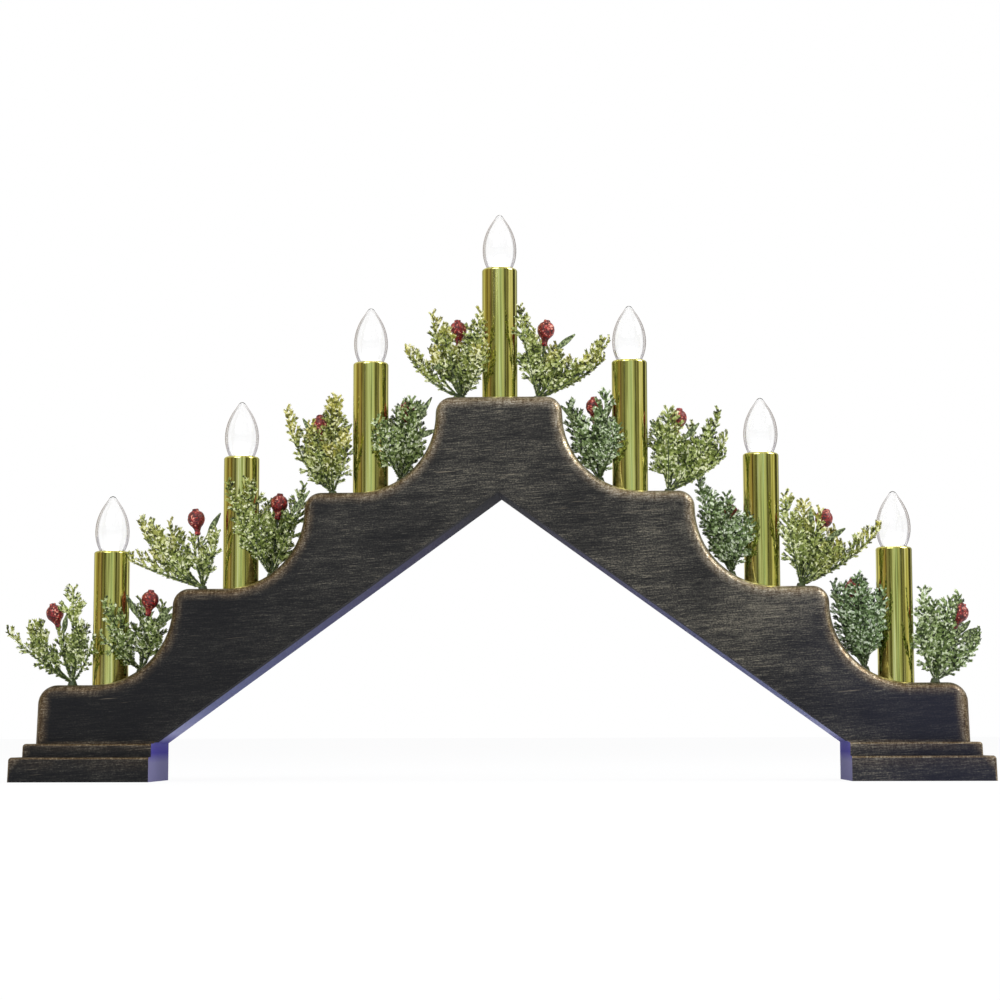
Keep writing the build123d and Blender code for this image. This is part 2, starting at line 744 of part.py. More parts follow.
berry_shares = [
    (-0.19, -0.04, 0.76), (0.10, -0.06, 0.77), (-0.06, -0.10, 0.75), (0.08, 0.00, 0.79),
    (-0.13, 0.02, 0.76), (0.06, 0.02, 0.77), (-0.04, -0.02, 0.76), (0.09, -0.04, 0.75),
    (-0.05, 0.00, 0.80), (0.11, 0.02, 0.80), (0.00, 0.20, 0.68), (0.25, 0.00, 0.72),
    (-0.10, 0.00, 0.86), (0.26, -0.06, 0.72),
]


def frond_outline(length, side_reach):
    """A toothed blade from its root along +X, bowed to the side that the frond leans to."""
    half_width = length * frond_width_share
    root = length * frond_root_share

    def bowed(run, across):
        bow = -frond_bow_share * side_reach * 4 * run * (1 - run)
        return (run * length, across + bow)

    pitch = 1 / (frond_teeth + 2)
    upper = [(0, root), (pitch, root)]
    for tooth in range(frond_teeth):
        run = (tooth + 2) * pitch
        reach = half_width * sin(radians(180) * (run - pitch / 2))
        upper += [(run, reach), (run, reach * tooth_notch_share)]
    upper.append((1, 0))
    lower = [(run, -across) for run, across in reversed(upper[:-1])]
    return [bowed(run, across) for run, across in upper + lower]


def blade(root, tip, outline):
    """A thin plate with the given outline, from root towards tip, facing the front."""
    along = (tip - root).normalized()
    front = Vector(0, -1, 0)
    facing = (front - along * front.dot(along)).normalized()
    with BuildPart() as plate:
        with BuildSketch(Plane(origin=root, x_dir=along, z_dir=facing)):
            with BuildLine():
                Polyline(*outline, close=True)
            make_face()
        extrude(amount=frond_sheet / 2, both=True)
    return plate.part


def berry_base(root, centre):
    """Foot of the berry's neck, on the line from the sprig's root to the berry's centre."""
    along = (centre - root).normalized()
    return centre - along * (berry_neck_length + berry_diameter / 2)


def sprig(lift, tips, centre):
    """Peg, collar, fronds, berry stalk and two leaves, planted at the origin."""
    root = Vector(0, 0, lift + collar_height - frond_sheet)
    base = berry_base(root, centre)
    along = (base - root).normalized()
    with BuildPart() as plant:
        with BuildSketch(Plane.XY.offset(-peg_depth)):
            Circle(peg_diameter / 2)
        extrude(amount=peg_depth + lift + frond_sheet)
        with BuildSketch(Plane.XY.offset(lift)):
            Circle(collar_diameter / 2)
        extrude(amount=collar_height)
        for tip in tips:
            add(blade(root, tip, frond_outline((tip - root).length, tip.X)))
        with BuildSketch(Plane(origin=root, z_dir=along)):
            Circle(stalk_diameter / 2)
        extrude(amount=(base - root).length + berry_neck_length * stalk_grip_share)
        belly = leaf_length * leaf_belly_share
        leaf = [(0, 0), (belly, leaf_width / 2), (leaf_length, 0), (belly, -leaf_width / 2)]
        leaf_root = base - along * leaf_width
        backwards = 1 if centre.Y > berry_diameter / 2 else -1
        for side in (-1, 1):
            spread = Vector(side * leaf_spread_share, backwards * leaf_lean_share, 0)
            add(blade(leaf_root, leaf_root + (along * leaf_rise_share + spread) * leaf_length, leaf))
    return plant.part


def berry(root, centre):
    """A round berry with a drawn-in neck, a small crown and a bore for its stalk."""
    along = (centre - root).normalized()
    body = berry_diameter / 2
    neck = berry_neck_diameter / 2
    bore = stalk_diameter / 2 + stalk_gap
    middle = berry_neck_length + body
    crown = berry_crown_diameter / 2
    crown_z = middle + sqrt(body ** 2 - crown ** 2)
    shoulder_z = middle - sqrt(body ** 2 - neck ** 2)
    with BuildPart() as fruit:
        with BuildSketch(Plane.XZ):
            with BuildLine():
                Polyline((bore, 0), (neck, 0), (neck, shoulder_z))
                ThreePointArc((neck, shoulder_z), (body, middle), (crown, crown_z))
                Polyline(
                    (crown, crown_z), (crown, crown_z + berry_crown_height),
                    (0, crown_z + berry_crown_height / 2), (0, berry_neck_length),
                    (bore, berry_neck_length), (bore, 0),
                )
            make_face()
        revolve(axis=Axis.Z)
    return Plane(origin=berry_base(root, centre), z_dir=along) * fruit.part


planted = [(place, offset) for place in tube_places for offset in sprig_sides(place)]
for number, (place, offset) in enumerate(planted, start=1):
    lift = surface_slope(place, offset) * collar_diameter / 2 + stalk_gap
    ground = Pos(tube_x(place) + offset, tube_y, surface_z(place, offset))
    root = Vector(0, 0, lift + collar_height - frond_sheet)
    tips = [Vector(*share) * sprig_reach for share in frond_tip_shares[number - 1]]
    centre = Vector(*berry_shares[number - 1]) * sprig_reach
    for name, piece in (
        ("sprig", ground * sprig(lift, tips, centre)),
        ("berry", ground * berry(root, centre)),
    ):
        piece.label = f"{name}_{number}"
        export_step(piece, f"parts/{name}_{number}.step")
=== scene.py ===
import random
from math import cos, pi, radians, sin, sqrt

import bmesh
import bpy
from mathutils import Matrix, Vector, noise


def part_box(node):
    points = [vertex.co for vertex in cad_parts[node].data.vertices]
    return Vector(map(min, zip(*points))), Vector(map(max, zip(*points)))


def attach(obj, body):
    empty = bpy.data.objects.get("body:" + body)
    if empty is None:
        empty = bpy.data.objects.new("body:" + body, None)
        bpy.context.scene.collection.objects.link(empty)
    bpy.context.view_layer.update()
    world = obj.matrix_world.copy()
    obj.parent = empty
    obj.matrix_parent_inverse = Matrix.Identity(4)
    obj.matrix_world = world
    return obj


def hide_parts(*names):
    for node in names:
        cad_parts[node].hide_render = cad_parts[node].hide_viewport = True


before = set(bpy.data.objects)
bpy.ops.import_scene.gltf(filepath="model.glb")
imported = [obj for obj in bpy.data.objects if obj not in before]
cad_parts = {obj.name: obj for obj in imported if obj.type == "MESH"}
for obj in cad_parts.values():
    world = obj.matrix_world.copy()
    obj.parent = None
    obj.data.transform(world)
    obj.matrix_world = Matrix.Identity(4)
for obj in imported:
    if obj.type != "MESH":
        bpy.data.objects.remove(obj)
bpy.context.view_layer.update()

# Dressing of the candle arch: camera, studio, materials for the moulded pieces, and fuller
# sprigs, berries and bulbs in place of the plain solids. Shapes are made in millimetres and
# turned to metres when they are finished.
scene = bpy.context.scene
MM = 0.001

# Sizes shared with the solids, in millimetres
tube_pitch = 54.6
tube_radius = 7.5
tube_height = 56.4
tubes_each_side = 3
tube_count = 2 * tubes_each_side + 1
shelf_rise = 39.7
riser_reach = 26.3
nose_radius = 6.7
cove_radius = shelf_rise - nose_radius
end_wall_x = 191.1
body_front_y = -11.5
peg_depth = 5.0
outer_sprig_reach = 16.0
inner_sprig_reach = 12.8
sprig_reach = 40.0
# Width of the band along the edges where the bronze is kept
worn_width = 6.0
# Depth of the painted shade along the underside's front edge, and where it has faded
painted_shade_depth = 7.0
painted_shade_fade_depth = 9.0
# Heights just above the plinth, where the paint of the body and the bare slopes start
body_foot = 16.5
slope_foot = 16.0


def linear(code):
    """A colour written as sRGB hex, turned to the linear values that the sockets take."""
    channels = [int(code[start:start + 2], 16) / 255 for start in (1, 3, 5)]
    return [c / 12.92 if c <= 0.04045 else ((c + 0.055) / 1.055) ** 2.4 for c in channels] + [1.0]


def add_node(tree, kind, inputs=None, **settings):
    """Adds one node with its settings; an input takes a value or the socket that feeds it."""
    made = tree.nodes.new(kind)
    for name, value in settings.items():
        setattr(made, name, value)
    for key, value in (inputs or {}).items():
        if isinstance(value, bpy.types.NodeSocket):
            tree.links.new(value, made.inputs[key])
        else:
            made.inputs[key].default_value = value
    return made


def start_material(name, inputs):
    """An empty material with one principled shader that has the given inputs."""
    material = bpy.data.materials.new(name)
    material.use_nodes = True
    tree = material.node_tree
    tree.nodes.clear()
    shader = add_node(tree, "ShaderNodeBsdfPrincipled", inputs)
    add_node(tree, "ShaderNodeOutputMaterial", {"Surface": shader.outputs["BSDF"]})
    return material, tree, shader


def ramp(tree, fac, stops):
    """Colours between the given places of a value, as one ramp."""
    made = add_node(tree, "ShaderNodeValToRGB", {"Fac": fac})
    while len(made.color_ramp.elements) < len(stops):
        made.color_ramp.elements.new(1.0)
    for element, (place, colour) in zip(made.color_ramp.elements, stops):
        element.position = place
        element.color = linear(colour)
    return made.outputs["Color"]


def grain(tree, size, turn=0.0, detail=3.0, rough=0.55):
    """Noise on object coordinates whose grains have the given size in millimetres."""
    place = add_node(tree, "ShaderNodeTexCoord")
    fitted = add_node(
        tree, "ShaderNodeMapping",
        {"Vector": place.outputs["Object"], "Rotation": (0.0, turn, 0.0),
         "Scale": [length * MM for length in size]},
        vector_type="TEXTURE",
    )
    return add_node(
        tree, "ShaderNodeTexNoise",
        {"Vector": fitted.outputs["Vector"], "Scale": 1.0, "Detail": detail, "Roughness": rough},
    ).outputs["Fac"]


def cells(tree, size):
    """A random value for every glitter flake of about the given size in millimetres."""
    place = add_node(tree, "ShaderNodeTexCoord")
    flakes = add_node(tree, "ShaderNodeTexVoronoi", {
        "Vector": place.outputs["Object"], "Scale": 1 / (size * MM),
    }, feature="F1")
    split = add_node(tree, "ShaderNodeSeparateColor", {"Color": flakes.outputs["Color"]})
    return split.outputs["Red"]


def weighted(tree, total, layers):
    """The total with every layer added to it by its own weight."""
    for layer, weight in layers:
        total = add_node(tree, "ShaderNodeMath", {
            0: layer, 1: weight, 2: total,
        }, operation="MULTIPLY_ADD").outputs[0]
    return total


# Camera at the photograph's viewing angle: low, a little to the right, looking up and left
camera_place = (0.0386, -0.9615, 0.0181)
camera_yaw = radians(2.29)
camera_pitch = radians(5.83)
camera_roll = radians(-0.14)
camera_data = bpy.data.cameras.new("camera")
camera_data.lens = 83.4
camera_data.sensor_width = 36.0
camera = bpy.data.objects.new("camera", camera_data)
camera.matrix_world = (
    Matrix.Translation(camera_place)
    @ Matrix.Rotation(camera_yaw, 4, "Z")
    @ Matrix.Rotation(pi / 2 + camera_pitch, 4, "X")
    @ Matrix.Rotation(camera_roll, 4, "Z")
)
scene.collection.objects.link(camera)
scene.camera = camera
scene.view_settings.view_transform = "Standard"

# World: white to the camera, even light for the surfaces, and for polished metal a room with
# a pale ceiling and upright light and dark panels, as shares of a full turn that starts
# behind the arch
room_panels = [
    (0.00, "#ffffff"), (0.07, "#f2efe4"), (0.12, "#8f8a70"), (0.15, "#e8e0bc"),
    (0.20, "#c8bc8c"), (0.245, "#a08c60"), (0.26, "#4c3020"), (0.275, "#b4a484"),
    (0.32, "#a89468"), (0.335, "#50382a"), (0.355, "#98907c"), (0.385, "#8a8870"),
    (0.405, "#3c3a2c"), (0.425, "#9ca08c"), (0.46, "#d0d8d8"), (0.50, "#d4e0e4"),
    (0.535, "#b0c4c0"), (0.55, "#dce4dc"), (0.585, "#b4b8a4"), (0.605, "#34342a"),
    (0.63, "#96947c"), (0.66, "#706c58"), (0.69, "#f0ecd0"), (0.72, "#c4bc94"),
    (0.755, "#e4dcb8"), (0.785, "#3a3824"), (0.83, "#4c4a3c"), (0.87, "#f0eee0"),
    (0.91, "#3c3c2c"), (0.96, "#ffffff"),
]
ceiling_colour = "#f4eee0"
# Upward part of a direction where the walls end and where the ceiling has taken over
wall_top = 0.3
ceiling_edge = 0.75
world = bpy.data.worlds.new("studio")
world.use_nodes = True
scene.world = world
tree = world.node_tree
tree.nodes.clear()
direction = add_node(tree, "ShaderNodeTexCoord")
parts = add_node(tree, "ShaderNodeSeparateXYZ", {"Vector": direction.outputs["Generated"]})
towards = add_node(tree, "ShaderNodeMath", {0: parts.outputs["Y"], 1: -1.0}, operation="MULTIPLY")
turned = add_node(tree, "ShaderNodeMath", {
    0: parts.outputs["X"], 1: towards.outputs["Value"],
}, operation="ARCTAN2")
share = add_node(tree, "ShaderNodeMapRange", {
    "Value": turned.outputs["Value"], "From Min": -pi, "From Max": pi,
})
overhead = add_node(tree, "ShaderNodeMapRange", {
    "Value": parts.outputs["Z"], "From Min": wall_top, "From Max": ceiling_edge,
})
walls = ramp(tree, share.outputs["Result"], room_panels)
room_colour = add_node(tree, "ShaderNodeMix", {
    0: overhead.outputs["Result"], 6: walls, 7: linear(ceiling_colour),
}, data_type="RGBA")
room = add_node(tree, "ShaderNodeBackground", {"Color": room_colour.outputs[2], "Strength": 1.0})
even = add_node(tree, "ShaderNodeBackground", {"Color": linear("#f6f7ff"), "Strength": 0.75})
white = add_node(tree, "ShaderNodeBackground", {"Color": linear("#ffffff"), "Strength": 1.0})
path = add_node(tree, "ShaderNodeLightPath")
lit = add_node(tree, "ShaderNodeMixShader", {
    0: path.outputs["Is Glossy Ray"], 1: even.outputs["Background"], 2: room.outputs["Background"],
})
clear_view = add_node(tree, "ShaderNodeMath", {
    0: path.outputs["Is Camera Ray"], 1: path.outputs["Is Transmission Ray"],
}, operation="MAXIMUM")
seen = add_node(tree, "ShaderNodeMixShader", {
    0: clear_view.outputs["Value"], 1: lit.outputs["Shader"], 2: white.outputs["Background"],
})
add_node(tree, "ShaderNodeOutputWorld", {"Surface": seen.outputs["Shader"]})

# Soft lamps: a broad one from the upper left front, a smaller one from the right and behind.
# Their places and sizes are in metres and their power in watts
lamps = [
    ("key_lamp", (-0.55, -1.1, 0.95), 0.9, 9.0),
    ("side_lamp", (0.85, -0.15, 0.75), 0.5, 7.0),
]
lamp_target = (0.0, 0.0, 0.1)
for name, place, size, power in lamps:
    data = bpy.data.lights.new(name, "AREA")
    data.size = size
    data.energy = power
    lamp = bpy.data.objects.new(name, data)
    aim = (Vector(lamp_target) - Vector(place)).to_track_quat("-Z", "Y")
    lamp.matrix_world = Matrix.Translation(place) @ aim.to_matrix().to_4x4()
    scene.collection.objects.link(lamp)

# Floor: plain white paper that keeps a pale shadow
floor_reach = 30.0
floor_glow = 0.92
floor_material, tree, shader = start_material("white paper sweep", {
    "Base Color": linear("#f2f2f2"), "Roughness": 0.9, "Specular IOR Level": 0.1,
})
path = add_node(tree, "ShaderNodeLightPath")
glow = add_node(tree, "ShaderNodeEmission", {"Color": linear("#ffffff"), "Strength": 1.0})
weight = add_node(tree, "ShaderNodeMath", {
    0: path.outputs["Is Camera Ray"], 1: floor_glow,
}, operation="MULTIPLY")
blended = add_node(tree, "ShaderNodeMixShader", {
    0: weight.outputs["Value"], 1: shader.outputs["BSDF"], 2: glow.outputs["Emission"],
})
output = next(item for item in tree.nodes if item.bl_idname == "ShaderNodeOutputMaterial")
tree.links.new(blended.outputs["Shader"], output.inputs["Surface"])
floor_shape = bmesh.new()
bmesh.ops.create_grid(floor_shape, x_segments=1, y_segments=1, size=floor_reach)
floor_mesh = bpy.data.meshes.new("floor")
floor_shape.to_mesh(floor_mesh)
floor_shape.free()
floor_mesh.materials.append(floor_material)
floor = bpy.data.objects.new("floor", floor_mesh)
scene.collection.objects.link(floor)


def worn_rim(tree, place):
    """How worn the paint is next to the stepped top: 1 at the outline and 0 a few millimetres
    inside it. Every step is moved on to the topmost one, where the depth is measured from the
    round of its nose or of its cove."""
    level = (tubes_each_side + 1) * shelf_rise - nose_radius
    flat = add_node(tree, "ShaderNodeVectorMath", {
        0: place.outputs["Object"], 1: (1.0, 0.0, 1.0),
    }, operation="MULTIPLY")
    flat = add_node(tree, "ShaderNodeVectorMath", {0: flat.outputs[0]}, operation="ABSOLUTE")
    parts = add_node(tree, "ShaderNodeSeparateXYZ", {"Vector": flat.outputs[0]})
    first = riser_reach + cove_radius - tube_pitch
    step = add_node(tree, "ShaderNodeMapRange", {
        "Value": parts.outputs["X"], "From Min": first * MM, "From Max": (first + tube_pitch) * MM,
    }, clamp=False)
    step = add_node(tree, "ShaderNodeMath", {0: step.outputs[0]}, operation="FLOOR")
    step = add_node(tree, "ShaderNodeMath", {0: step.outputs[0], 1: 0.0}, operation="MAXIMUM")
    moved = add_node(tree, "ShaderNodeVectorMath", {
        0: step.outputs[0], 1: (-tube_pitch * MM, 0.0, shelf_rise * MM), 2: flat.outputs[0],
    }, operation="MULTIPLY_ADD")
    under_cove = add_node(tree, "ShaderNodeVectorMath", {
        0: moved.outputs[0], 1: ((riser_reach + cove_radius) * MM, 0.0, level * MM),
    }, operation="DISTANCE")
    cove_wear = add_node(tree, "ShaderNodeMapRange", {
        "Value": under_cove.outputs["Value"], "From Min": cove_radius * MM,
        "From Max": (cove_radius + worn_width) * MM, "To Min": 1.0, "To Max": 0.0,
    }, interpolation_type="SMOOTHSTEP")
    past_nose = add_node(tree, "ShaderNodeVectorMath", {
        0: moved.outputs[0], 1: ((riser_reach - nose_radius) * MM, 0.0, level * MM),
    }, operation="SUBTRACT")
    past_nose = add_node(tree, "ShaderNodeVectorMath", {
        0: past_nose.outputs[0], 1: (0.0, 0.0, 0.0),
    }, operation="MAXIMUM")
    past_nose = add_node(tree, "ShaderNodeVectorMath", {
        0: past_nose.outputs[0],
    }, operation="LENGTH")
    nose_wear = add_node(tree, "ShaderNodeMapRange", {
        "Value": past_nose.outputs["Value"], "From Min": (nose_radius - worn_width) * MM,
        "From Max": nose_radius * MM,
    }, interpolation_type="SMOOTHSTEP")
    height = add_node(tree, "ShaderNodeSeparateXYZ", {"Vector": moved.outputs[0]})
    is_low = add_node(tree, "ShaderNodeMath", {
        0: height.outputs["Z"], 1: level * MM,
    }, operation="LESS_THAN")
    stepped = add_node(tree, "ShaderNodeMix", {
        0: is_low.outputs[0], 2: nose_wear.outputs[0], 3: cove_wear.outputs[0],
    }, data_type="FLOAT")
    # The end walls and the two ledges of each foot are worn along their own edges
    end_wear = add_node(tree, "ShaderNodeMapRange", {
        "Value": parts.outputs["X"], "From Min": (end_wall_x - worn_width) * MM,
        "From Max": end_wall_x * MM,
    }, interpolation_type="SMOOTHSTEP")
    ledges = ramp(tree, parts.outputs["Z"], [
        (0.0070, "#000000"), (0.0100, "#b0b0b0"), (0.0112, "#000000"),
        (0.0130, "#202020"), (0.0155, "#b0b0b0"), (0.0170, "#000000"),
    ])
    is_body = add_node(tree, "ShaderNodeMath", {
        0: parts.outputs["Z"], 1: body_foot * MM,
    }, operation="GREATER_THAN")
    edge = add_node(tree, "ShaderNodeMix", {
        0: is_body.outputs[0], 2: ledges, 3: end_wear.outputs[0],
    }, data_type="FLOAT")
    return add_node(tree, "ShaderNodeMath", {
        0: stepped.outputs[0], 1: edge.outputs[0],
    }, operation="MAXIMUM")


def painted_housing():
    """Moulded plastic sprayed black and dry-brushed with bronze: dark faces with fine, short,
    nearly level strokes that come and go, and metal that stays in a soft band along the rounded
    edges. Painted light lies over it: a sheen that makes the faces lighter over the middle and
    the right of the arch, a cold blue reflection at the right end, and under the arch, where no
    bronze is, a violet reflected light that fades to painted shade higher up. Bristle marks are
    about 0.1 mm wide and are drawn three times as coarse, so that they show."""
    material, tree, shader = start_material("dry-brushed bronze paint", {
        "IOR": 1.48, "Specular IOR Level": 0.18,
    })
    stroke_tilt = radians(-4)
    fine = grain(tree, (7.0, 0.6, 0.3), stroke_tilt, 4.0, 0.65)
    grit = grain(tree, (0.7, 0.6, 0.5), 0.0, 1.0)
    broad = grain(tree, (60.0, 6.0, 3.5), stroke_tilt, 3.0)
    patch = grain(tree, (46.0, 60.0, 26.0))
    place = add_node(tree, "ShaderNodeTexCoord")
    spot = add_node(tree, "ShaderNodeSeparateXYZ", {"Vector": place.outputs["Object"]})
    # Painted sheen: lighter faces over the middle and the right of the arch, darker at both ends
    painted_sheen_rise = add_node(tree, "ShaderNodeMapRange", {
        "Value": spot.outputs["X"], "From Min": -0.12, "From Max": 0.03,
        "To Min": -0.05, "To Max": 0.035,
    }, interpolation_type="SMOOTHSTEP")
    painted_sheen_fall = add_node(tree, "ShaderNodeMapRange", {
        "Value": spot.outputs["X"], "From Min": 0.11, "From Max": 0.17,
        "To Min": 0.0, "To Max": -0.05,
    }, interpolation_type="SMOOTHSTEP")
    painted_sheen = add_node(tree, "ShaderNodeMath", {
        0: painted_sheen_rise.outputs[0], 1: painted_sheen_fall.outputs[0],
    }, operation="ADD").outputs[0]
    # The strokes carry the painted sheen as well as the brush marks
    strokes_and_sheen = weighted(tree, painted_sheen, [(fine, 0.42), (grit, 0.2), (broad, 0.13), (patch, 0.25)])
    face = ramp(tree, strokes_and_sheen, [
        (0.38, "#0a0b10"), (0.46, "#161617"), (0.52, "#292826"),
        (0.57, "#42403a"), (0.66, "#7c7666"),
    ])
    # A few strokes of a loaded brush
    loaded = add_node(tree, "ShaderNodeMapRange", {
        "Value": grain(tree, (26.0, 3.0, 0.7), stroke_tilt, 2.0),
        "From Min": 0.71, "From Max": 0.82, "To Min": 0.0, "To Max": 0.7,
    })
    face = add_node(tree, "ShaderNodeMix", {
        0: loaded.outputs["Result"], 6: face, 7: linear("#a29680"),
    }, data_type="RGBA").outputs[2]
    # Painted reflection: a cold blue over the faces at the right end of the arch
    painted_blue_reflection = add_node(tree, "ShaderNodeMapRange", {
        "Value": spot.outputs["X"], "From Min": 0.09, "From Max": 0.18,
        "To Min": 0.0, "To Max": 0.4,
    }, interpolation_type="SMOOTHSTEP")
    face = add_node(tree, "ShaderNodeMix", {
        0: painted_blue_reflection.outputs[0], 6: face, 7: linear("#1e2136"),
    }, data_type="RGBA").outputs[2]
    # Bronze stays where a surface turns from the front to the top, and along the worn rim
    form = add_node(tree, "ShaderNodeNewGeometry")
    facing = add_node(tree, "ShaderNodeSeparateXYZ", {"Vector": form.outputs["Normal"]})
    towards_front = add_node(tree, "ShaderNodeMath", {
        0: facing.outputs["Y"],
    }, operation="ABSOLUTE")
    rounded = ramp(tree, towards_front.outputs[0], [
        (0.02, "#505050"), (0.12, "#ffffff"), (0.80, "#e8e8e8"),
        (0.93, "#808080"), (0.995, "#000000"),
    ])
    kept = add_node(tree, "ShaderNodeMapRange", {
        "Value": broad, "From Min": 0.3, "From Max": 0.6, "To Min": 0.55, "To Max": 1.0,
    })
    rubbed = add_node(tree, "ShaderNodeMapRange", {
        "Value": grain(tree, (16.0, 16.0, 9.0)), "From Min": 0.36, "From Max": 0.6,
        "To Min": 0.25, "To Max": 0.85,
    })
    edge = add_node(tree, "ShaderNodeMath", {
        0: rounded, 1: kept.outputs["Result"],
    }, operation="MULTIPLY").outputs[0]
    rim = add_node(tree, "ShaderNodeMath", {
        0: worn_rim(tree, place).outputs[0], 1: rubbed.outputs["Result"],
    }, operation="MULTIPLY")
    worn = add_node(tree, "ShaderNodeMath", {
        0: edge, 1: rim.outputs[0],
    }, operation="MAXIMUM").outputs[0]
    across = grain(tree, (1.2, 9.0, 5.0), 0.0, 4.0, 0.6)
    # The bronze's tone carries the painted sheen as well
    polish_and_sheen = weighted(tree, painted_sheen, [(across, 0.3), (fine, 0.4), (grit, 0.3)])
    bronze = ramp(tree, polish_and_sheen, [
        (0.38, "#483a28"), (0.46, "#6e5b43"), (0.54, "#a09178"), (0.64, "#dcd3c0"),
    ])
    mixed = add_node(tree, "ShaderNodeMix", {
        0: worn, 6: face, 7: bronze,
    }, data_type="RGBA").outputs[2]
    # No brush reached the faces that look towards the middle of the arch
    side = add_node(tree, "ShaderNodeMath", {0: spot.outputs["X"]}, operation="SIGN")
    inward = add_node(tree, "ShaderNodeMath", {
        0: facing.outputs["X"], 1: side.outputs[0],
    }, operation="MULTIPLY")
    unbrushed = add_node(tree, "ShaderNodeMapRange", {
        "Value": inward.outputs[0], "From Min": -0.35, "From Max": -0.5,
    }).outputs["Result"]
    # Painted light under the arch: violet reflected light, palest just above the feet, that fades
    # to painted shade, near black, higher up
    painted_underside_light = ramp(tree, spot.outputs["Z"], [
        (0.010, "#6e6c90"), (0.0115, "#3a3188"), (0.0155, "#3c368a"),
        (0.017, "#a8aad0"), (0.030, "#646a92"), (0.050, "#4c5076"),
        (0.075, "#3e3e60"), (0.095, "#2e2c46"), (0.112, "#12111a"),
    ])
    # Painted shade: a near-black strip along the front edge of the slopes' undersides
    past_painted_shade = add_node(tree, "ShaderNodeMapRange", {
        "Value": spot.outputs["Y"], "From Min": (body_front_y + painted_shade_depth) * MM,
        "From Max": (body_front_y + painted_shade_fade_depth) * MM,
    })
    is_foot = add_node(tree, "ShaderNodeMath", {
        0: spot.outputs["Z"], 1: slope_foot * MM,
    }, operation="LESS_THAN")
    outside_painted_shade = add_node(tree, "ShaderNodeMath", {
        0: past_painted_shade.outputs["Result"], 1: is_foot.outputs[0],
    }, operation="MAXIMUM")
    painted_underside_light = add_node(tree, "ShaderNodeMix", {
        0: outside_painted_shade.outputs[0], 6: linear("#0c0c10"), 7: painted_underside_light,
    }, data_type="RGBA").outputs[2]
    colour = add_node(tree, "ShaderNodeMix", {
        0: unbrushed, 6: mixed, 7: painted_underside_light,
    }, data_type="RGBA")
    metal = add_node(tree, "ShaderNodeMix", {0: unbrushed, 2: edge, 3: 0.0}, data_type="FLOAT")
    gloss = add_node(tree, "ShaderNodeMapRange", {
        "Value": worn, "From Min": 0.0, "From Max": 1.0, "To Min": 0.6, "To Max": 0.27,
    }).outputs[0]
    gloss = add_node(tree, "ShaderNodeMix", {0: unbrushed, 2: gloss, 3: 0.8}, data_type="FLOAT")
    relief = add_node(tree, "ShaderNodeBump", {
        "Strength": 0.3, "Distance": 0.15 * MM, "Height": strokes_and_sheen,
    })
    tree.links.new(colour.outputs[2], shader.inputs["Base Color"])
    tree.links.new(metal.outputs[0], shader.inputs["Metallic"])
    tree.links.new(gloss.outputs[0], shader.inputs["Roughness"])
    tree.links.new(relief.outputs["Normal"], shader.inputs["Normal"])
    return material


def metallised_tube():
    """Polystyrene with a vacuum-deposited metal coat under yellow-green lacquer: a mirror
    that wavers a little along the tube, in long streaks of a paler and a deeper lacquer."""
    material, tree, shader = start_material("vacuum-metallised polystyrene", {"Metallic": 1.0})
    waver = grain(tree, (2.2, 2.2, 30.0), 0.0, 4.0, 0.6)
    tint = grain(tree, (0.8, 0.8, 60.0), 0.0, 3.0, 0.65)
    colour = ramp(tree, tint, [
        (0.34, "#9c9a50"), (0.46, "#d0cd78"), (0.56, "#d8d784"), (0.66, "#eeeaac"),
    ])
    gloss = add_node(tree, "ShaderNodeMapRange", {
        "Value": waver, "From Min": 0.3, "From Max": 0.7, "To Min": 0.05, "To Max": 0.12,
    })
    relief = add_node(tree, "ShaderNodeBump", {
        "Strength": 0.2, "Distance": 0.2 * MM, "Height": waver,
    })
    tree.links.new(colour, shader.inputs["Base Color"])
    tree.links.new(gloss.outputs["Result"], shader.inputs["Roughness"])
    tree.links.new(relief.outputs["Normal"], shader.inputs["Normal"])
    return material


def clear_bulb():
    """Injection-moulded clear acrylic: see-through, with grey outlines where it is seen
    through its own wall and a slight orange peel."""
    material, tree, shader = start_material("clear moulded acrylic", {
        "Transmission Weight": 1.0, "IOR": 1.42,
    })
    turned_away = add_node(tree, "ShaderNodeLayerWeight", {"Blend": 0.5})
    tint = ramp(tree, turned_away.outputs["Facing"], [
        (0.0, "#ffffff"), (0.50, "#ffffff"), (0.70, "#6a5d58"),
    ])
    peel = grain(tree, (4.0, 4.0, 6.0), 0.0, 1.0)
    gloss = add_node(tree, "ShaderNodeMapRange", {"Value": peel, "To Min": 0.01, "To Max": 0.05})
    relief = add_node(tree, "ShaderNodeBump", {
        "Strength": 0.05, "Distance": 0.1 * MM, "Height": peel,
    })
    tree.links.new(tint, shader.inputs["Base Color"])
    tree.links.new(gloss.outputs["Result"], shader.inputs["Roughness"])
    tree.links.new(relief.outputs["Normal"], shader.inputs["Normal"])
    return material


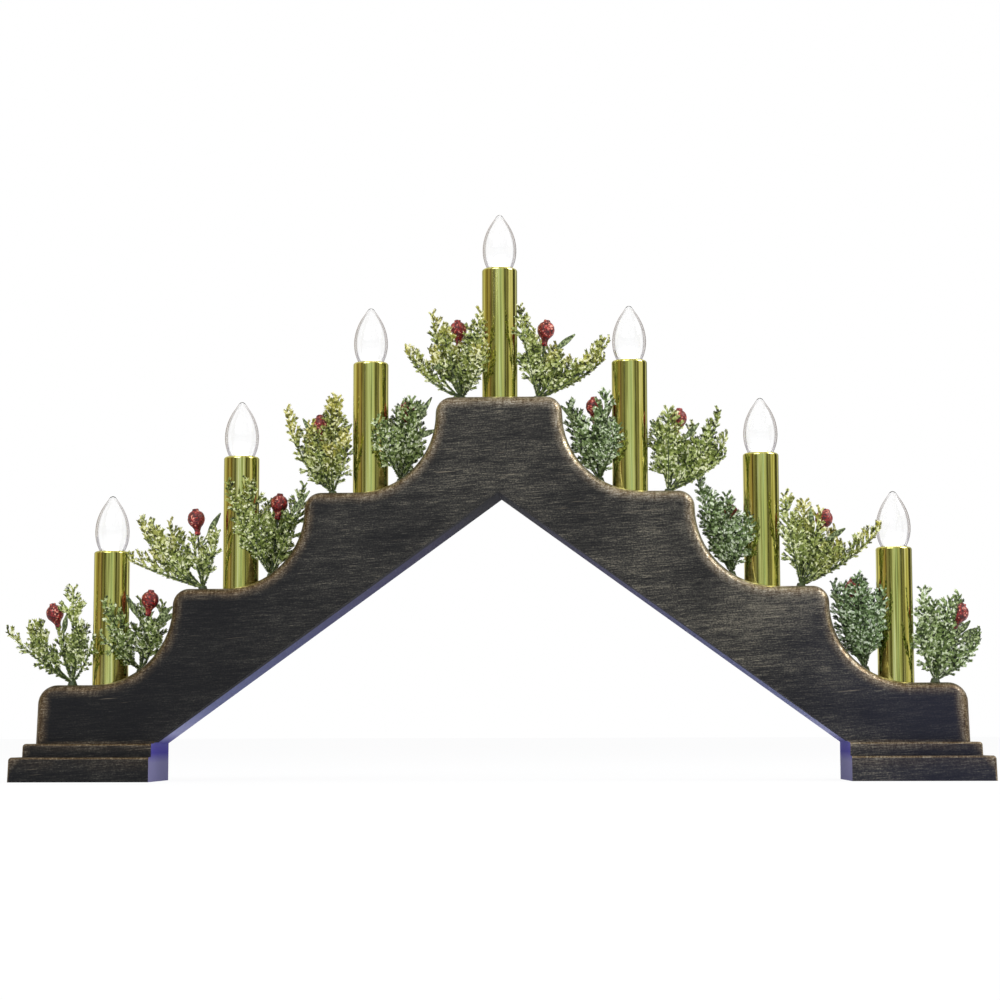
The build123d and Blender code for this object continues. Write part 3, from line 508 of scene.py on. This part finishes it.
def glittered_foliage():
    """Moulded polyethylene needles with clear glitter: every scale takes its own tone from
    dark green to nearly white. Towards the tips of the fronds next to a bulb the needles are
    yellower, which is painted light of the bulb, and where the value is below 0 they are bluer
    and darker. The real flakes are about 0.3 mm and are drawn three times as coarse, so that
    they show."""
    material, tree, shader = start_material("glittered polyethylene foliage", {"IOR": 1.5})
    flake = cells(tree, 0.9)
    drift = grain(tree, (7.0, 7.0, 7.0))
    tone = add_node(tree, "ShaderNodeMath", {0: drift, 1: 0.8, 2: -0.4}, operation="MULTIPLY_ADD")
    tone = add_node(tree, "ShaderNodeMath", {0: flake, 1: tone.outputs[0]}, operation="ADD")
    needles = ramp(tree, tone.outputs[0], [
        (0.00, "#182006"), (0.26, "#4c5e20"), (0.58, "#889a4a"),
        (0.80, "#bdca80"), (0.95, "#f2f6d2"),
    ])
    # Needles yellow with painted light of a nearby bulb
    bulb_lit_needles = ramp(tree, tone.outputs[0], [
        (0.00, "#3c3c10"), (0.28, "#7d7a28"), (0.62, "#b2ae48"),
        (0.84, "#dcd888"), (0.97, "#fbf8cc"),
    ])
    cool_needles = ramp(tree, tone.outputs[0], [
        (0.00, "#101b0a"), (0.26, "#384c24"), (0.58, "#6c8750"),
        (0.80, "#a4bc8a"), (0.95, "#e4eed8"),
    ])
    bulb_glow_and_blue_tone = add_node(tree, "ShaderNodeAttribute", attribute_name="bulb_glow_and_blue_tone")
    cool = add_node(tree, "ShaderNodeMapRange", {
        "Value": bulb_glow_and_blue_tone.outputs["Fac"], "From Min": 0.0, "From Max": -1.0,
    })
    needles = add_node(tree, "ShaderNodeMix", {
        0: cool.outputs["Result"], 6: needles, 7: cool_needles,
    }, data_type="RGBA").outputs[2]
    # The painted bulb light lies in patches over a frond
    glow_patches = add_node(tree, "ShaderNodeMapRange", {
        "Value": drift, "From Min": 0.35, "From Max": 0.65, "To Min": 0.2, "To Max": 1.0,
    })
    bulb_light_share = add_node(tree, "ShaderNodeMath", {
        0: bulb_glow_and_blue_tone.outputs["Fac"], 1: glow_patches.outputs["Result"],
    }, operation="MULTIPLY")
    mixed = add_node(tree, "ShaderNodeMix", {
        0: bulb_light_share.outputs[0], 6: needles, 7: bulb_lit_needles,
    }, data_type="RGBA")
    gloss = add_node(tree, "ShaderNodeMapRange", {"Value": flake, "To Min": 0.65, "To Max": 0.25})
    tree.links.new(mixed.outputs[2], shader.inputs["Base Color"])
    tree.links.new(gloss.outputs[0], shader.inputs["Roughness"])
    return material


def glittered_berry():
    """Foam berries dipped in red glitter: deep red between bright grains, each at its own
    slant. The real grains are about 0.25 mm and are drawn twice as coarse, so that they
    show."""
    material, tree, shader = start_material("red glitter on foam", {"IOR": 1.5})
    flake = cells(tree, 0.5)
    clump = grain(tree, (2.2, 2.2, 2.2))
    tone = add_node(tree, "ShaderNodeMath", {0: clump, 1: 0.9, 2: -0.45}, operation="MULTIPLY_ADD")
    tone = add_node(tree, "ShaderNodeMath", {0: flake, 1: tone.outputs[0]}, operation="ADD")
    colour = ramp(tree, tone.outputs[0], [
        (0.02, "#240405"), (0.35, "#560b0e"), (0.70, "#84181a"),
        (0.90, "#b02e2a"), (0.98, "#eca088"),
    ])
    gloss = add_node(tree, "ShaderNodeMapRange", {"Value": flake, "To Min": 0.6, "To Max": 0.2})
    relief = add_node(tree, "ShaderNodeBump", {
        "Strength": 0.6, "Distance": 0.15 * MM, "Height": flake,
    })
    tree.links.new(colour, shader.inputs["Base Color"])
    tree.links.new(gloss.outputs[0], shader.inputs["Roughness"])
    tree.links.new(relief.outputs["Normal"], shader.inputs["Normal"])
    return material


def plain_material(name, size, stops, rough, bump=0.0, extra=None):
    """A finish with one mottle: its grain size, colours, range of roughness and relief."""
    material, tree, shader = start_material(name, extra or {})
    mottle = grain(tree, size)
    gloss = add_node(tree, "ShaderNodeMapRange", {
        "Value": mottle, "To Min": rough[0], "To Max": rough[1],
    })
    tree.links.new(ramp(tree, mottle, stops), shader.inputs["Base Color"])
    tree.links.new(gloss.outputs["Result"], shader.inputs["Roughness"])
    if bump:
        relief = add_node(tree, "ShaderNodeBump", {
            "Strength": bump, "Distance": 0.1 * MM, "Height": mottle,
        })
        tree.links.new(relief.outputs["Normal"], shader.inputs["Normal"])
    return material


housing_paint = painted_housing()
tube_metal = metallised_tube()
bulb_plastic = clear_bulb()
needle_plastic = glittered_foliage()
# Soft plastic of the ribs and collars: dull dark green, nearly black in the hollows
rib_plastic = plain_material(
    "dyed polyethylene wire cover", (1.5, 1.5, 3.0), [(0.35, "#222a16"), (0.65, "#4d5e34")],
    (0.45, 0.65))
# Flat plastic leaves: darker and smoother than the needles, with a pale bloom
leaf_plastic = plain_material(
    "printed polyethylene leaf", (0.7, 0.7, 1.0),
    [(0.38, "#202a0c"), (0.50, "#4a5c24"), (0.62, "#a6b47e")], (0.35, 0.6), 0.2)
berry_glitter = glittered_berry()
# Black ABS with a spark-eroded grain: even, dull, faintly grey where it is worn. The real
# grain is about 0.2 mm and is drawn four times as coarse, so that it shows
cover_plastic = plain_material(
    "spark-grained black ABS", (0.8, 0.8, 0.8), [(0.3, "#1b1a1a"), (0.7, "#2a2827")],
    (0.5, 0.68), 0.3)
# The knob and its case: deeper black and glossier than the cover
switch_plastic = plain_material(
    "polished black nylon", (1.5, 1.5, 1.5), [(0.3, "#101011"), (0.7, "#1c1c1e")],
    (0.25, 0.4), 0.1)
# Zinc-plated steel: bright and slightly blue, with dull patches
plated_steel = plain_material(
    "zinc-plated steel", (2.0, 2.0, 2.0), [(0.35, "#a9abae"), (0.65, "#d2d4d6")],
    (0.2, 0.42), 0.1, {"Metallic": 1.0})
# Shrunk film over a metal can: slate blue with a soft metallic sheen
cell_sleeve = plain_material(
    "printed polyester cell sleeve", (6.0, 6.0, 6.0), [(0.3, "#32485a"), (0.7, "#3f5a70")],
    (0.2, 0.35), 0.0, {"Metallic": 0.5})
# Undyed nylon: milky, with a satin skin
holder_plastic = plain_material(
    "natural moulded nylon", (3.0, 3.0, 3.0), [(0.3, "#dedcd4"), (0.7, "#f0eee8")],
    (0.4, 0.55), 0.1)
# Extruded PVC: smooth, white, with a soft gloss
wire_cover = plain_material(
    "white extruded PVC insulation", (3.0, 3.0, 3.0), [(0.3, "#dddbd6"), (0.7, "#efede8")],
    (0.3, 0.45))
# Lamps that are on: clear resin, white with their own light
lamp_resin = plain_material(
    "lit clear resin", (3.0, 3.0, 3.0), [(0.3, "#fffaf0"), (0.7, "#ffffff")], (0.1, 0.2), 0.0,
    {"Emission Color": linear("#fff6e4"), "Emission Strength": 4.0})

finishes = {
    "arch_housing": housing_paint, "back_cover": cover_plastic, "battery_door": cover_plastic,
    "cover_screws": plated_steel, "battery_contacts": plated_steel, "switch_knob": switch_plastic,
    "switch_case": switch_plastic, "batteries": cell_sleeve, "wiring_loom": wire_cover,
    "lamps": lamp_resin,
}
for number in range(1, tube_count + 1):
    finishes[f"candle_tube_{number}"] = tube_metal
    finishes[f"lamp_holder_{number}"] = holder_plastic
for node, material in finishes.items():
    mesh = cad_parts[node].data
    mesh.materials.clear()
    mesh.materials.append(material)


def finish_piece(name, shape, materials, node):
    """Turns a shape in millimetres into a piece in metres that stands for a node."""
    bmesh.ops.transform(shape, matrix=Matrix.Scale(MM, 4), verts=shape.verts)
    mesh = bpy.data.meshes.new(name)
    shape.to_mesh(mesh)
    shape.free()
    for material in materials:
        mesh.materials.append(material)
    piece = bpy.data.objects.new(name, mesh)
    scene.collection.objects.link(piece)
    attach(piece, "root")
    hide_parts(node)
    return piece


def spin_profile(shape, profile, steps):
    """A closed turned shape from a profile of radius and height, added to the shape."""
    points = [shape.verts.new((radius, 0.0, height)) for radius, height in profile]
    edges = [shape.edges.new(pair) for pair in zip(points, points[1:])]
    bmesh.ops.spin(
        shape, geom=points + edges, axis=(0, 0, 1), cent=(0, 0, 0), steps=steps, angle=2 * pi,
        use_merge=True,
    )
    bmesh.ops.remove_doubles(shape, verts=shape.verts, dist=0.001)
    bmesh.ops.recalc_face_normals(shape, faces=shape.faces)


# Middle of each candle tube on its shelf, in millimetres
tube_feet = []
for number in range(1, tube_count + 1):
    low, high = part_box(f"candle_tube_{number}")
    middle = (low + high) / 2 / MM
    tube_feet.append(Vector((middle.x, middle.y, high.z / MM - tube_height)))


# Bulbs: an even wall that follows the flame outline, as shares of the bulb's height and
# radius, and a neck down in the tube
flame_shares = [
    (0.00, 0.72), (0.07, 0.82), (0.15, 0.92), (0.26, 0.985), (0.37, 1.00), (0.48, 0.96),
    (0.58, 0.885), (0.68, 0.765), (0.79, 0.585), (0.88, 0.37), (0.94, 0.24), (0.98, 0.16),
]
bulb_radius = 7.3
bulb_height = 23.6
bulb_wall = 0.7
bulb_neck_radius = 5.4
bulb_neck_length = 7.0
outer = [(bulb_radius * across, bulb_height * up) for up, across in flame_shares]
inner = [(radius - bulb_wall, height) for radius, height in outer if radius > 2 * bulb_wall]
neck = bulb_neck_radius - bulb_wall
bulb_profile = (
    [(0.0, inner[-1][1] + bulb_wall)] + inner[::-1]
    + [(neck, 0.0), (neck, -bulb_neck_length), (bulb_neck_radius, -bulb_neck_length)]
    + [(bulb_neck_radius, 0.0)] + outer + [(0.0, bulb_height)]
)
for number, foot in enumerate(tube_feet, 1):
    flame = bmesh.new()
    spin_profile(flame, bulb_profile, 32)
    for face in flame.faces:
        face.smooth = True
    bmesh.ops.translate(flame, vec=foot + Vector((0, 0, tube_height)), verts=flame.verts)
    piece = finish_piece(f"flame_bulb_{number}", flame, [bulb_plastic], f"bulb_{number}")
    rounding = piece.modifiers.new("rounding", "SUBSURF")
    rounding.levels = 1
    rounding.render_levels = 1


def ground(x):
    """Height of the stepped top of the arch at a place along it, in millimetres."""
    reach = abs(x)
    if reach > end_wall_x:
        return 0.0
    for step in range(tubes_each_side):
        riser = riser_reach + step * tube_pitch
        top = shelf_rise * (tubes_each_side + 1 - step)
        if reach <= riser - nose_radius:
            return top
        if reach <= riser:
            return top - nose_radius + sqrt(nose_radius ** 2 - (reach - riser + nose_radius) ** 2)
        if reach <= riser + cove_radius:
            return top - nose_radius - sqrt(cove_radius ** 2 - (riser + cove_radius - reach) ** 2)
    return shelf_rise


# Sprigs: scale-like needles on twigs that branch once more, in millimetres
needle_length = 1.7
needle_width = 0.62
needle_pitch = 0.75
needle_angle = radians(27)
stem_radius = 0.2
side_twig_pitch = 2.6
side_twig_angle = radians(32)
side_twig_share = 0.38
twig_lengths = (3.5, 6.5, 10.0)
rib_radius = 0.5
twig_pitch = 2.7
twig_angle = radians(36)
# Twigs shorter than this aren't set, and each length has a few kinds
shortest_twig = 1.4
kinds_of_each = 3


def needle(shape, root, along, length):
    """One needle, a slim four-sided spindle, from its root along a direction."""
    turn = along.to_track_quat("Z", "Y").to_matrix().to_4x4()
    size = Matrix.Diagonal((needle_width / 2, needle_width / 2, length / 2, 1.0))
    place = Matrix.Translation(root + along * length / 2) @ turn @ size
    bmesh.ops.create_uvsphere(shape, u_segments=4, v_segments=2, radius=1.0, matrix=place)


def set_needles(shape, start, along, across, length, draw):
    """Needles on both sides of a straight length of stem, and one at its tip."""
    for place in range(int(length / needle_pitch)):
        run = (place + 0.5) * needle_pitch
        for side in (-1, 1):
            angle = needle_angle * draw.uniform(0.7, 1.3)
            out = (across * side + along.cross(across) * draw.uniform(-0.7, 0.7)).normalized()
            heading = along * cos(angle) + out * sin(angle)
            needle(shape, start + along * run, heading, needle_length * draw.uniform(0.8, 1.15))
    needle(shape, start + along * (length - needle_length * 0.6), along, needle_length)


def twig_template(length, seed):
    """A flat twig along X with side twigs, set with needles, as a mesh to be copied."""
    draw = random.Random(seed)
    shape = bmesh.new()
    along = Vector((1, 0, 0))
    across = Vector((0, 1, 0))
    bmesh.ops.create_cone(
        shape, segments=3, radius1=stem_radius, radius2=stem_radius / 2, depth=length,
        cap_ends=False,
        matrix=Matrix.Translation(along * length / 2) @ Matrix.Rotation(pi / 2, 4, "Y"),
    )
    set_needles(shape, Vector(), along, across, length, draw)
    for place in range(1, int(length / side_twig_pitch)):
        side = 1 if (place + seed) % 2 else -1
        reach = side_twig_share * (length - place * side_twig_pitch) + needle_length
        heading = along * cos(side_twig_angle) + across * side * sin(side_twig_angle)
        start = along * (place * side_twig_pitch)
        set_needles(shape, start, heading, Vector((-heading.y, heading.x, 0)), reach, draw)
    return keep_template(shape, f"twig_{length}_{seed}")


def rib_template(seed):
    """Needles alone, on one length of a rib between two twigs."""
    shape = bmesh.new()
    along = Vector((1, 0, 0))
    across = Vector((0, 1, 0))
    set_needles(shape, Vector(), along, across, twig_pitch, random.Random(seed))
    return keep_template(shape, f"rib_{seed}")


def keep_template(shape, name):
    """A shape turned into a mesh that the sprigs copy."""
    mesh = bpy.data.meshes.new(name)
    shape.to_mesh(mesh)
    shape.free()
    return mesh


twig_kinds = [
    (length, [twig_template(length, seed) for seed in range(kinds_of_each)])
    for length in twig_lengths
]
rib_kinds = [(twig_pitch, [rib_template(seed) for seed in range(kinds_of_each)])]

# Tips of the fronds of each sprig, from the left end of the arch to the right one, as
# shares of the sprig's reach: sideways, backwards and up from where it is planted
frond_tip_shares = [
    [(-0.53, -0.64, 0.54), (-0.50, 0.10, 0.62), (-0.36, -0.20, 0.68), (-0.02, 0.24, 0.88),
     (0.02, -0.12, 1.00), (0.30, -0.34, 0.52)],
    [(-0.32, -0.50, 0.38), (-0.30, -0.44, 0.72), (-0.05, 0.22, 0.78), (0.22, 0.05, 0.72),
     (0.20, -0.20, 0.52)],
    [(-0.76, -0.08, 0.32), (-0.70, 0.06, 0.75), (-0.55, -0.16, 0.70), (-0.40, 0.24, 0.74),
     (-0.10, -0.08, 0.58), (0.20, -0.30, 0.58)],
    [(-0.38, -0.54, 0.94), (-0.20, -0.40, 1.00), (-0.06, 0.20, 0.82), (0.33, 0.10, 0.98),
     (0.20, -0.12, 0.66)],
    [(-0.49, -0.05, 0.89), (-0.30, 0.20, 0.78), (-0.04, 0.22, 1.04), (0.06, -0.18, 1.00),
     (-0.20, -0.25, 0.70), (0.20, -0.30, 0.60)],
    [(-0.22, -0.44, 0.60), (-0.02, 0.16, 0.84), (0.12, -0.12, 0.86), (0.20, 0.12, 0.84),
     (0.22, -0.05, 0.56)],
    [(-0.59, -0.05, 0.54), (-0.32, 0.08, 0.94), (-0.18, -0.20, 0.74), (0.00, 0.22, 0.80),
     (0.22, -0.34, 0.88), (0.28, -0.38, 0.54)],
    [(-0.18, -0.32, 0.94), (-0.04, 0.18, 0.80), (0.24, -0.14, 0.50), (0.20, 0.22, 0.60),
     (0.75, -0.10, 0.62), (0.70, 0.12, 0.46)],
    [(-0.32, 0.08, 0.84), (-0.22, -0.14, 0.66), (0.02, 0.14, 0.74), (0.08, -0.18, 0.90),
     (0.20, -0.44, 0.54)],
    [(-0.12, 0.16, 0.76), (0.00, -0.16, 0.84), (0.28, 0.20, 0.72), (0.53, -0.05, 0.85),
     (0.62, 0.10, 0.60), (0.58, -0.20, 0.37)],
    [(-0.32, 0.08, 1.02), (-0.22, -0.12, 0.84), (-0.04, 0.04, 0.84), (0.18, -0.46, 0.58),
     (-0.10, -0.24, 0.50)],
    [(-0.18, -0.30, 0.92), (0.06, 0.14, 0.90), (0.20, -0.12, 0.78), (0.38, 0.16, 0.62),
     (0.80, -0.22, 0.60), (0.36, -0.28, 0.42)],
    [(-0.30, 0.06, 0.90), (-0.22, -0.12, 0.88), (0.00, 0.24, 0.90), (0.14, -0.44, 0.80),
     (-0.05, -0.24, 0.55), (-0.10, -0.30, 0.95)],
    [(-0.14, -0.20, 0.94), (0.02, 0.14, 0.84), (0.14, -0.20, 0.84), (0.30, 0.20, 0.90),
     (0.53, 0.36, 0.54), (-0.22, -0.34, 0.58), (0.45, -0.10, 0.45)],
]
berry_shares = [
    (-0.19, -0.04, 0.76), (0.10, -0.06, 0.77), (-0.06, -0.10, 0.75), (0.08, 0.00, 0.79),
    (-0.13, 0.02, 0.76), (0.06, 0.02, 0.77), (-0.04, -0.02, 0.76), (0.09, -0.04, 0.75),
    (-0.05, 0.00, 0.80), (0.11, 0.02, 0.80), (0.00, 0.20, 0.68), (0.25, 0.00, 0.72),
    (-0.10, 0.00, 0.86), (0.26, -0.06, 0.72),
]
# Tips of the plain leaves beside each berry, as shares of the reach sideways and up
leaf_tip_shares = [
    [(-0.04, 0.72)], [(-0.12, 0.80), (0.34, 0.68), (0.38, 0.62)], [(0.20, 0.78), (0.20, 0.61)],
    [(0.40, 0.90), (0.28, 0.66)], [(0.20, 0.74), (-0.30, 0.80)],
    [(-0.04, 0.77), (0.21, 0.86), (0.32, 0.89), (0.36, 0.55)],
    [(0.17, 0.74), (0.24, 0.68), (0.21, 0.54), (-0.28, 0.34)], [(-0.10, 0.73), (0.38, 0.67)],
    [(-0.39, 0.79), (-0.32, 0.74), (0.14, 0.86)], [(-0.18, 0.75), (-0.16, 0.65), (0.31, 0.72)],
    [(-0.20, 0.88)], [(0.44, 0.60), (0.10, 0.80)], [(0.04, 0.80), (-0.33, 0.80)],
    [(0.21, 0.88), (0.33, 0.62), (0.40, 0.55), (0.42, 0.46)],
]
# Share of every rib that is left without twigs next to the hub
bare_share = 0.2
# How closely each sprig's fronds are set with twigs
sprig_density = [
    0.55, 0.72, 0.78, 0.85, 0.93, 1.0, 0.8, 0.86, 0.95, 0.92, 1.0, 0.92, 1.0, 0.93,
]
# Below this density only every other gap between the fronds is filled
sparse_density = 0.8
# How yellow each sprig's left and right fronds are towards their tips, which is painted light
# of the bulbs, or below 0 how blue and dark all over
sprig_bulb_glow_and_blue_tone = [
    (0.6, 0.1), (-0.2, -0.2), (1.0, 0.3), (0.7, -0.2), (1.8, 1.5), (-0.3, -0.5), (1.3, 0.8),
    (0.7, 1.2), (-0.7, -0.8), (0.4, 0.4), (-0.8, -0.8), (0.3, 1.4), (-1.0, -1.0), (-0.5, -0.6),
]
# Width of a frond on each side, and of the shorter ones that fill the gaps between two. The
# fillers reach a share of the way to their neighbours' tips, a little in front or behind
frond_width = 9.5
filler_width = 7.5
filler_share = 0.74
filler_offset = 3.0
# A frond swells along its length by this part of a half wave: where it starts, and how much
# of it runs to the tip. Twigs on its outer side are shorter, more so the more it leans
swell_start = 0.16
swell_run = 0.76
outer_share = 0.85
lean_loss = 0.75
# How far the bend of a rib sinks, and how much it tapers at each of its steps
rib_sag = 0.6
rib_steps = 6
rib_taper = 0.12
# Room left round the sprig's own tube and above the shelf
tube_clearance = 0.6
shelf_clearance = 0.5


def rib_point(root, tip, run):
    """A place on a rib that leaves the hub flatter than its tip and bends upwards."""
    reach = tip - root
    sag = rib_sag * abs(reach.x) * reach.z ** 2 / reach.length ** 3
    bend = root + Vector((reach.x * (0.5 + sag), reach.y * 0.5, reach.z * (0.5 - sag)))
    return root * (1 - run) ** 2 + bend * 2 * run * (1 - run) + tip * run ** 2


def is_free(point, number):
    """True for a place outside the sprig's own tube and above the arch."""
    off_axis = (point - tube_feet[(number - 1) // 2]).xy.length
    is_outside = off_axis > tube_radius + tube_clearance
    return is_outside and point.z > ground(point.x) + shelf_clearance


def place_twig(shape, templates, start, along, facing, length, draw):
    """Copies a twig of about the right length to its place on a rib."""
    kind_length, kinds = min(templates, key=lambda kind: abs(kind[0] - length))
    copy = draw.choice(kinds).copy()
    across = facing.cross(along).normalized()
    facing = along.cross(across)
    turn = Matrix((along, across, facing)).transposed().to_4x4()
    copy.transform(Matrix.Translation(start) @ turn @ Matrix.Scale(length / kind_length, 4))
    shape.from_mesh(copy)
    bpy.data.meshes.remove(copy)


def frond(shape, stems, number, root, tip, width, density, bulb_glow_and_blue_tone, draw):
    """A rib with needles from its root and twigs on both sides, longest near its middle and
    on the side towards the middle of the sprig."""
    length = (tip - root).length
    first = len(shape.verts)
    outward = min(abs(tip.x - root.x) / length, 1.0)
    stems.append([
        (rib_point(root, tip, step / rib_steps), rib_radius * (1 - rib_taper * step))
        for step in range(rib_steps + 1)
    ])
    inward = -1 if tip.x > root.x else 1
    count = int(length / twig_pitch)
    for place in range(1, count + 1):
        run = place / count
        start = rib_point(root, tip, run)
        before = rib_point(root, tip, (place - 1) / count)
        along = (start - before).normalized()
        front = Vector((draw.uniform(-0.25, 0.25), -1, draw.uniform(-0.25, 0.25)))
        facing = (front - along * front.dot(along)).normalized()
        sideways = facing.cross(along)
        if is_free(start, number):
            place_twig(shape, rib_kinds, before, along, facing, (start - before).length, draw)
        if run < bare_share:
            continue
        swell = sin(pi * (swell_start + swell_run * run)) ** 0.8
        for side in (-1, 1):
            is_inward = side * sideways.x * inward > 0
            side_share = 1.0 if is_inward else outer_share - lean_loss * outward
            reach = width * swell * side_share * draw.uniform(0.7, 1.15)
            if reach < shortest_twig or draw.random() > density:
                continue
            angle = twig_angle * draw.uniform(0.8, 1.2)
            heading = (along * cos(angle) + sideways * side * sin(angle)).normalized()
            if is_free(start, number) and is_free(start + heading * reach, number):
                place_twig(shape, twig_kinds, start, heading, facing, reach, draw)
    # Painted bulb light: yellower towards the frond's tip; a value below 0 is a bluer, darker tone
    # all over
    layer = shape.verts.layers.float["bulb_glow_and_blue_tone"]
    shape.verts.ensure_lookup_table()
    for vert in shape.verts[first:]:
        vert[layer] = bulb_glow_and_blue_tone * ((vert.co - root).length / length) ** 2 if bulb_glow_and_blue_tone > 0 else bulb_glow_and_blue_tone


leaf_width = 2.4
leaf_thickness = 0.25
leaf_stem_share = 0.4
leaf_stem_width = 0.5
# Rise of a leaf's sides as a share of its half width, and droop as a share of its length
leaf_fold = 0.35
leaf_droop = 0.12


def leaf(shape, root, tip):
    """A lance-shaped leaf on a thin stem, with a folded midrib and a thin edge."""
    made = bmesh.ops.create_grid(shape, x_segments=10, y_segments=2, size=0.5)["verts"]
    length = (tip - root).length
    along = (tip - root).normalized()
    across = Vector((0, -1, 0)).cross(along).normalized()
    facing = along.cross(across)
    for vert in made:
        run = vert.co.x + 0.5
        side = vert.co.y * 2
        blade = max((run - leaf_stem_share) / (1 - leaf_stem_share), 0.0)
        half = max(leaf_width / 2 * sin(pi * blade) ** 0.8, leaf_stem_width / 2)
        fold = leaf_fold * half * abs(side) - leaf_droop * length * run ** 2
        vert.co = root + along * run * length + across * side * half + facing * fold
    faces = {face for vert in made for face in vert.link_faces}
    for face in faces:
        face.material_index = 2
        face.smooth = True
    bmesh.ops.solidify(shape, geom=list(faces), thickness=leaf_thickness)


def add_stems(shape, stems):
    """Round tapering stems through the given points, added to the shape."""
    curve = bpy.data.curves.new("stems", "CURVE")
    curve.dimensions = "3D"
    curve.bevel_depth = 1.0
    curve.bevel_resolution = 0
    for points in stems:
        spline = curve.splines.new("POLY")
        spline.points.add(len(points) - 1)
        for target, (place, radius) in zip(spline.points, points):
            target.co = (*place, 1.0)
            target.radius = radius
    holder = bpy.data.objects.new("stems", curve)
    mesh = bpy.data.meshes.new_from_object(holder)
    first = len(shape.faces)
    shape.from_mesh(mesh)
    shape.faces.ensure_lookup_table()
    for face in shape.faces[first:]:
        face.material_index = 1
        face.smooth = True
    bpy.data.objects.remove(holder)
    bpy.data.curves.remove(curve)
    bpy.data.meshes.remove(mesh)


# Berries: a pear shape with a neck towards its sprig and a small crown, rough with glitter
berry_profile = [
    (0.0, 0.0), (1.15, 0.0), (1.15, 1.3), (1.4, 2.5), (2.2, 3.6), (3.2, 4.9), (3.6, 6.6),
    (3.4, 8.1), (2.6, 9.4), (1.4, 10.2), (1.25, 10.9), (0.9, 11.0), (0.7, 10.4), (0.0, 10.2),
]
berry_middle = 6.8
glitter_height = 0.22
# Ripples of the glitter per millimetre
glitter_ripple = 1.6
stalk_radius = 0.5
collar_height = 2.0
collar_foot_radius = 2.2
collar_top_radius = 1.5
# Height of the ribs' roots above the hub, inside the collar
rib_root_height = 1.4
# Share of the stalk below its leaves, and how far their tips stand in front of the berry, as
# a share of the sprig's reach
leaf_root_share = 0.72
leaf_forward_share = 0.16


def sprig(number):
    """Everything that stands for one sprig: ribs, twigs, leaves, stalk and collar."""
    draw = random.Random(number)
    foot = tube_feet[(number - 1) // 2]
    side = -1 if number % 2 else 1
    reach = inner_sprig_reach if side * foot.x < -1.0 else outer_sprig_reach
    hub_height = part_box(f"sprig_{number}")[0].z / MM + peg_depth
    hub = Vector((foot.x + side * reach, foot.y, hub_height))
    root = hub + Vector((0, 0, rib_root_height))
    shape = bmesh.new()
    shape.verts.layers.float.new("bulb_glow_and_blue_tone")
    stems = []
    tips = [hub + Vector(share) * sprig_reach for share in frond_tip_shares[number - 1]]
    fillers = []
    for place, (one, other) in enumerate(zip(tips, tips[1:])):
        middle = root + ((one + other) / 2 - root) * filler_share
        middle.y += filler_offset if place % 2 else -filler_offset
        fillers.append(middle)
    # Painted bulb light of the sprig's left and right fronds, or below 0 their blue, dark tone
    left, right = sprig_bulb_glow_and_blue_tone[number - 1]
    density = sprig_density[number - 1]
    if density < sparse_density:
        fillers = fillers[::2]
    widths = [frond_width] * len(tips) + [filler_width] * len(fillers)
    for tip, width in zip(tips + fillers, widths):
        mix = min(max((tip.x - hub.x) / sprig_reach + 0.5, 0), 1)
        bulb_glow_and_blue_tone = left * (1 - mix) + right * mix
        frond(shape, stems, number, root, tip, width, density, bulb_glow_and_blue_tone, draw)
    # The stalk ends just inside the berry's neck
    centre = hub + Vector(berry_shares[number - 1]) * sprig_reach
    along = (centre - root).normalized()
    neck = centre - along * berry_middle
    stems.append([
        (root, stalk_radius), ((root + neck) / 2, stalk_radius), (neck + along * 0.5, stalk_radius),
    ])
    start = root + (neck - root) * leaf_root_share
    leaf_back = berry_shares[number - 1][1] - leaf_forward_share
    for across, up in leaf_tip_shares[number - 1]:
        tip = hub + Vector((across, leaf_back, up)) * sprig_reach
        if is_free(tip, number):
            leaf(shape, start, tip)
    add_stems(shape, stems)
    collar = bmesh.ops.create_cone(
        shape, segments=20, radius1=collar_foot_radius, radius2=collar_top_radius,
        depth=collar_height, cap_ends=True, cap_tris=False,
        matrix=Matrix.Translation(hub + Vector((0, 0, collar_height / 2))),
    )
    for face in {face for vert in collar["verts"] for face in vert.link_faces}:
        face.material_index = 1
    finish_piece(
        f"evergreen_sprig_{number}", shape, [needle_plastic, rib_plastic, leaf_plastic],
        f"sprig_{number}",
    )
    fruit = bmesh.new()
    spin_profile(fruit, berry_profile, 20)
    bmesh.ops.subdivide_edges(fruit, edges=fruit.edges, cuts=1, smooth=0.4, use_grid_fill=True)
    fruit.normal_update()
    for vert in fruit.verts:
        # Every berry takes its own part of the noise
        spot = vert.co * glitter_ripple + Vector((number * 9.0, 0, 0))
        vert.co += vert.normal * glitter_height * noise.noise(spot)
    for face in fruit.faces:
        face.smooth = True
    turn = along.to_track_quat("Z", "Y").to_matrix().to_4x4()
    bmesh.ops.transform(fruit, matrix=Matrix.Translation(neck) @ turn, verts=fruit.verts)
    finish_piece(f"glitter_berry_{number}", fruit, [berry_glitter], f"berry_{number}")


for number in range(1, 2 * tube_count + 1):
    sprig(number)

for length, kinds in twig_kinds + rib_kinds:
    for mesh in kinds:
        bpy.data.meshes.remove(mesh)
